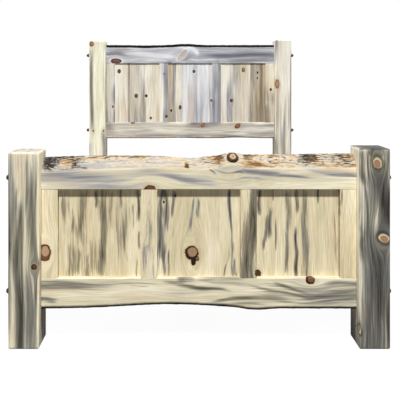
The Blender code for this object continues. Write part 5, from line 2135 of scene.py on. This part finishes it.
@dataclass
class Bed:
    """All the bed's timbers and ironwork, dressed piece by piece."""

    foot_pine: Material
    washed_pine: Material
    streaked_pine: Material
    dark_pine: Material
    head_pine: Material
    lavender_pine: Material
    fresh_pine: Material
    framing: Material
    iron: Material
    zinc: Material
    post_rounding: float = 8 * MM
    screw_share: float = 0.28
    screws_per_ledger: int = 8
    screw_margin: float = 90 * MM
    boards: int = 9
    boards_per_opening: int = 3
    slats: int = 5

    def build(self) -> None:
        """Builds the footboard, the headboard, the deck and the ironwork."""
        self.footboard()
        self.headboard()
        self.deck()
        self.ironwork()

    def footboard(self) -> None:
        """A cream and a heavily stained post, live-edge rails, uprights and panels of the foot."""
        for node, pine, slot in (
            ("foot_post_left", self.streaked_pine, "cream_pine"),
            ("foot_post_right", self.dark_pine, "blue_stained_pine"),
        ):
            Plank(node, FIGURES[node], pine, slot, rounding=self.post_rounding, run_step=6 * MM).build()
        self.foot_rails()
        for name, grooves in GROOVES.items():
            node = f"foot_{name}"
            Upright(node, FIGURES[node], self.foot_pine, "cream_pine", grooves=grooves, end="foot",
                    step=3.5 * MM, run_step=5 * MM).build()
        for place in ("left", "middle", "right"):
            node = f"foot_panel_{place}"
            Plank(node, FIGURES[node], self.foot_pine, "panel_pine", rounding=1.5 * MM, step=3.2 * MM,
                  run_step=4.5 * MM, unevenness=0.2 * MM).build()

    def foot_rails(self) -> None:
        """The foot's top rail, with its barky live edge and branch stub, and its bottom rail."""
        edge = (Swell(-0.7, 0.1, -0.008), Swell(-0.24, 0.09, 0.009), Swell(0.146, 0.05, 0.015))
        crown = (Swell(-0.5, 0.25, 0.006), Swell(-0.04, 0.09, -0.012), Swell(0.155, 0.045, 0.012))
        LiveRail(
            "foot_top_rail", FIGURES["foot_top_rail"], self.washed_pine, "blue_stained_pine", up=1,
            edge=LiveEdge(0.1, 0.008, edge), crown=LiveEdge(0.149, 0.014, crown), fleck=0.31, rust=0.0,
            rim_bark=(1.0, 0.7, 0.25), zones=FOOT_BARK,
        ).build()
        BranchStub(self.washed_pine).build()
        ridge = (Swell(-0.13, 0.3, 0.02), Swell(0.26, 0.075, -0.009))
        LiveRail(
            "foot_bottom_rail", FIGURES["foot_bottom_rail"], self.streaked_pine, "blue_stained_pine", up=-1,
            edge=LiveEdge(0.134, 0.0, ridge), crown=LiveEdge(0.147, 0.0, ridge), crown_share=0.28,
            wane_power=2.0, bulge=1 * MM, lumps=0.8 * MM, fleck=0.9, rust=-0.1,
        ).build()

    def headboard(self) -> None:
        """Posts, rails, uprights and boards of the head, lavender where the stain is at its coolest."""
        for node, pine in (("head_post_left", self.fresh_pine), ("head_post_right", self.head_pine)):
            Plank(node, FIGURES[node], pine, "cream_pine", rounding=self.post_rounding,
                  run_step=7 * MM).build()
        self.head_rails()
        steps = {"step": 5 * MM, "run_step": 7 * MM}
        for name, grooves in GROOVES.items():
            node = f"head_{name}"
            pine = self.lavender_pine if FIGURES[node].cool >= 1 else self.head_pine
            Upright(node, FIGURES[node], pine, "cream_pine", grooves=grooves, end="head", **steps).build()
        for number in range(self.boards):
            node, place = f"head_board_{number + 1}", number % self.boards_per_opening
            pine = self.lavender_pine if FIGURES[node].cool >= 1 else self.head_pine
            Board(node, FIGURES[node], pine, "panel_pine", first=place == 0,
                  last=place == self.boards_per_opening - 1, **steps).build()

    def head_rails(self) -> None:
        """The head's lavender-grey top rail with its dark live edge, and its bottom rail."""
        edge = (Swell(-0.38, 0.1, -0.006), Swell(-0.04, 0.08, 0.008))
        crown = (Swell(-0.38, 0.14, -0.003), Swell(-0.04, 0.11, 0.01))
        ridge = (Swell(-0.1, 0.12, 0.004), Swell(0.42, 0.13, 0.006))
        shared = {"end": "head", "shoulder": 4 * MM, "step": 4.5 * MM, "run_step": 6 * MM}
        LiveRail(
            "head_top_rail", FIGURES["head_top_rail"], self.lavender_pine, "blue_stained_pine", up=1,
            edge=LiveEdge(0.137, 0.002, edge), crown=LiveEdge(0.159, 0.0, crown), crown_share=0.6,
            fleck=1.0, rust=-0.1, **shared,
        ).build()
        LiveRail(
            "head_bottom_rail", FIGURES["head_bottom_rail"], self.head_pine, "blue_stained_pine", up=-1,
            edge=LiveEdge(0.131, 0.0, ridge), crown=LiveEdge(0.137, 0.0, ridge), crown_share=0.4,
            wane_power=2.0, bulge=1 * MM, lumps=0.8 * MM, fleck=0.25, rust=0.3, **shared,
        ).build()

    def deck(self) -> None:
        """Side rails, ledgers, slats, centre beam and legs."""
        for side in ("left", "right"):
            Plank(f"side_rail_{side}", Figure(0.22, grain=Grain.LENGTHWISE, seen_face=False), self.foot_pine,
                  "cream_pine", step=6 * MM, run_step=14 * MM).build()
            Plank(f"ledger_{side}", Figure(0.08, grain=Grain.LENGTHWISE, seen_face=False), self.framing,
                  "framing_pine", step=8 * MM, run_step=20 * MM).build()
        for number in range(1, self.slats + 1):
            Plank(f"slat_{number}", Figure(0.1, grain=Grain.SLATWISE, seen_face=False), self.framing,
                  "framing_pine", step=7 * MM, run_step=14 * MM).build()
        Plank("centre_beam", Figure(0.1, grain=Grain.LENGTHWISE, seen_face=False), self.framing,
              "framing_pine", step=8 * MM, run_step=20 * MM).build()
        for where in ("foot", "head"):
            ForkedLeg(f"centre_leg_{where}", Figure(0.1, seen_face=False), self.framing,
                      "framing_pine").build()
        self.deck_screws()

    def deck_screws(self) -> None:
        """Screws that hold the slats to the ledgers and the beam, and the ledgers to the side rails."""
        deck = []
        for number in range(1, self.slats + 1):
            low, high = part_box(f"slat_{number}")
            middle, reach = (low.y + high.y) / 2, self.screw_share * (high.y - low.y)
            for carrier in ("ledger_left", "ledger_right", "centre_beam"):
                edges = sorted((low.x, high.x, *(corner.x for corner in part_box(carrier))))
                deck += [((edges[1] + edges[2]) / 2, middle + side * reach, high.z) for side in (-1, 1)]
        Screws("slat_screws", np.array(deck), (0, 0, 1), self.zinc).build()
        for side, sign in (("left", 1), ("right", -1)):
            low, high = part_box(f"ledger_{side}")
            spots = np.empty((self.screws_per_ledger, 3))
            spots[:, 0] = high.x if sign > 0 else low.x
            spots[:, 1] = np.linspace(low.y + self.screw_margin, high.y - self.screw_margin, len(spots))
            spots[:, 2] = (low.z + high.z) / 2
            Screws(f"ledger_screws_{side}", spots, (sign, 0, 0), self.zinc).build()

    def ironwork(self) -> None:
        """Rail bolts, levelling feet, and the bracket plates of the side rails."""
        for end in ("foot", "head"):
            for side, sign in (("left", -1), ("right", 1)):
                for level in ("upper", "lower"):
                    RailBolt(f"rail_bolt_{end}_{side}_{level}", sign, self.iron).build()
                for plate in ("post_plate", "hook_plate"):
                    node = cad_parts[f"{plate}_{end}_{side}"]
                    node.data.materials.clear()
                    node.data.materials.append(self.zinc)
            Leveller(f"leveller_{end}", f"leveller_{end}", self.zinc).build()


def main() -> None:
    """Dresses the bed and lights it."""
    logging.basicConfig(level=logging.INFO, format="%(message)s")
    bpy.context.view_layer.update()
    VIEW.add_camera()
    Studio().build()
    Bed(
        foot_pine=PineFinish("blue_stained_pine").material(), washed_pine=WASHED_PINE.material(),
        streaked_pine=STREAKED_PINE.material(), dark_pine=DARK_PINE.material(),
        head_pine=HEAD_PINE.material(), lavender_pine=LAVENDER_PINE.material(),
        fresh_pine=FRESH_PINE.material(), framing=FRAMING_PINE.material(),
        iron=IronFinish().material(), zinc=ZincFinish().material(),
    ).build()


if __name__ == "__main__":
    main()
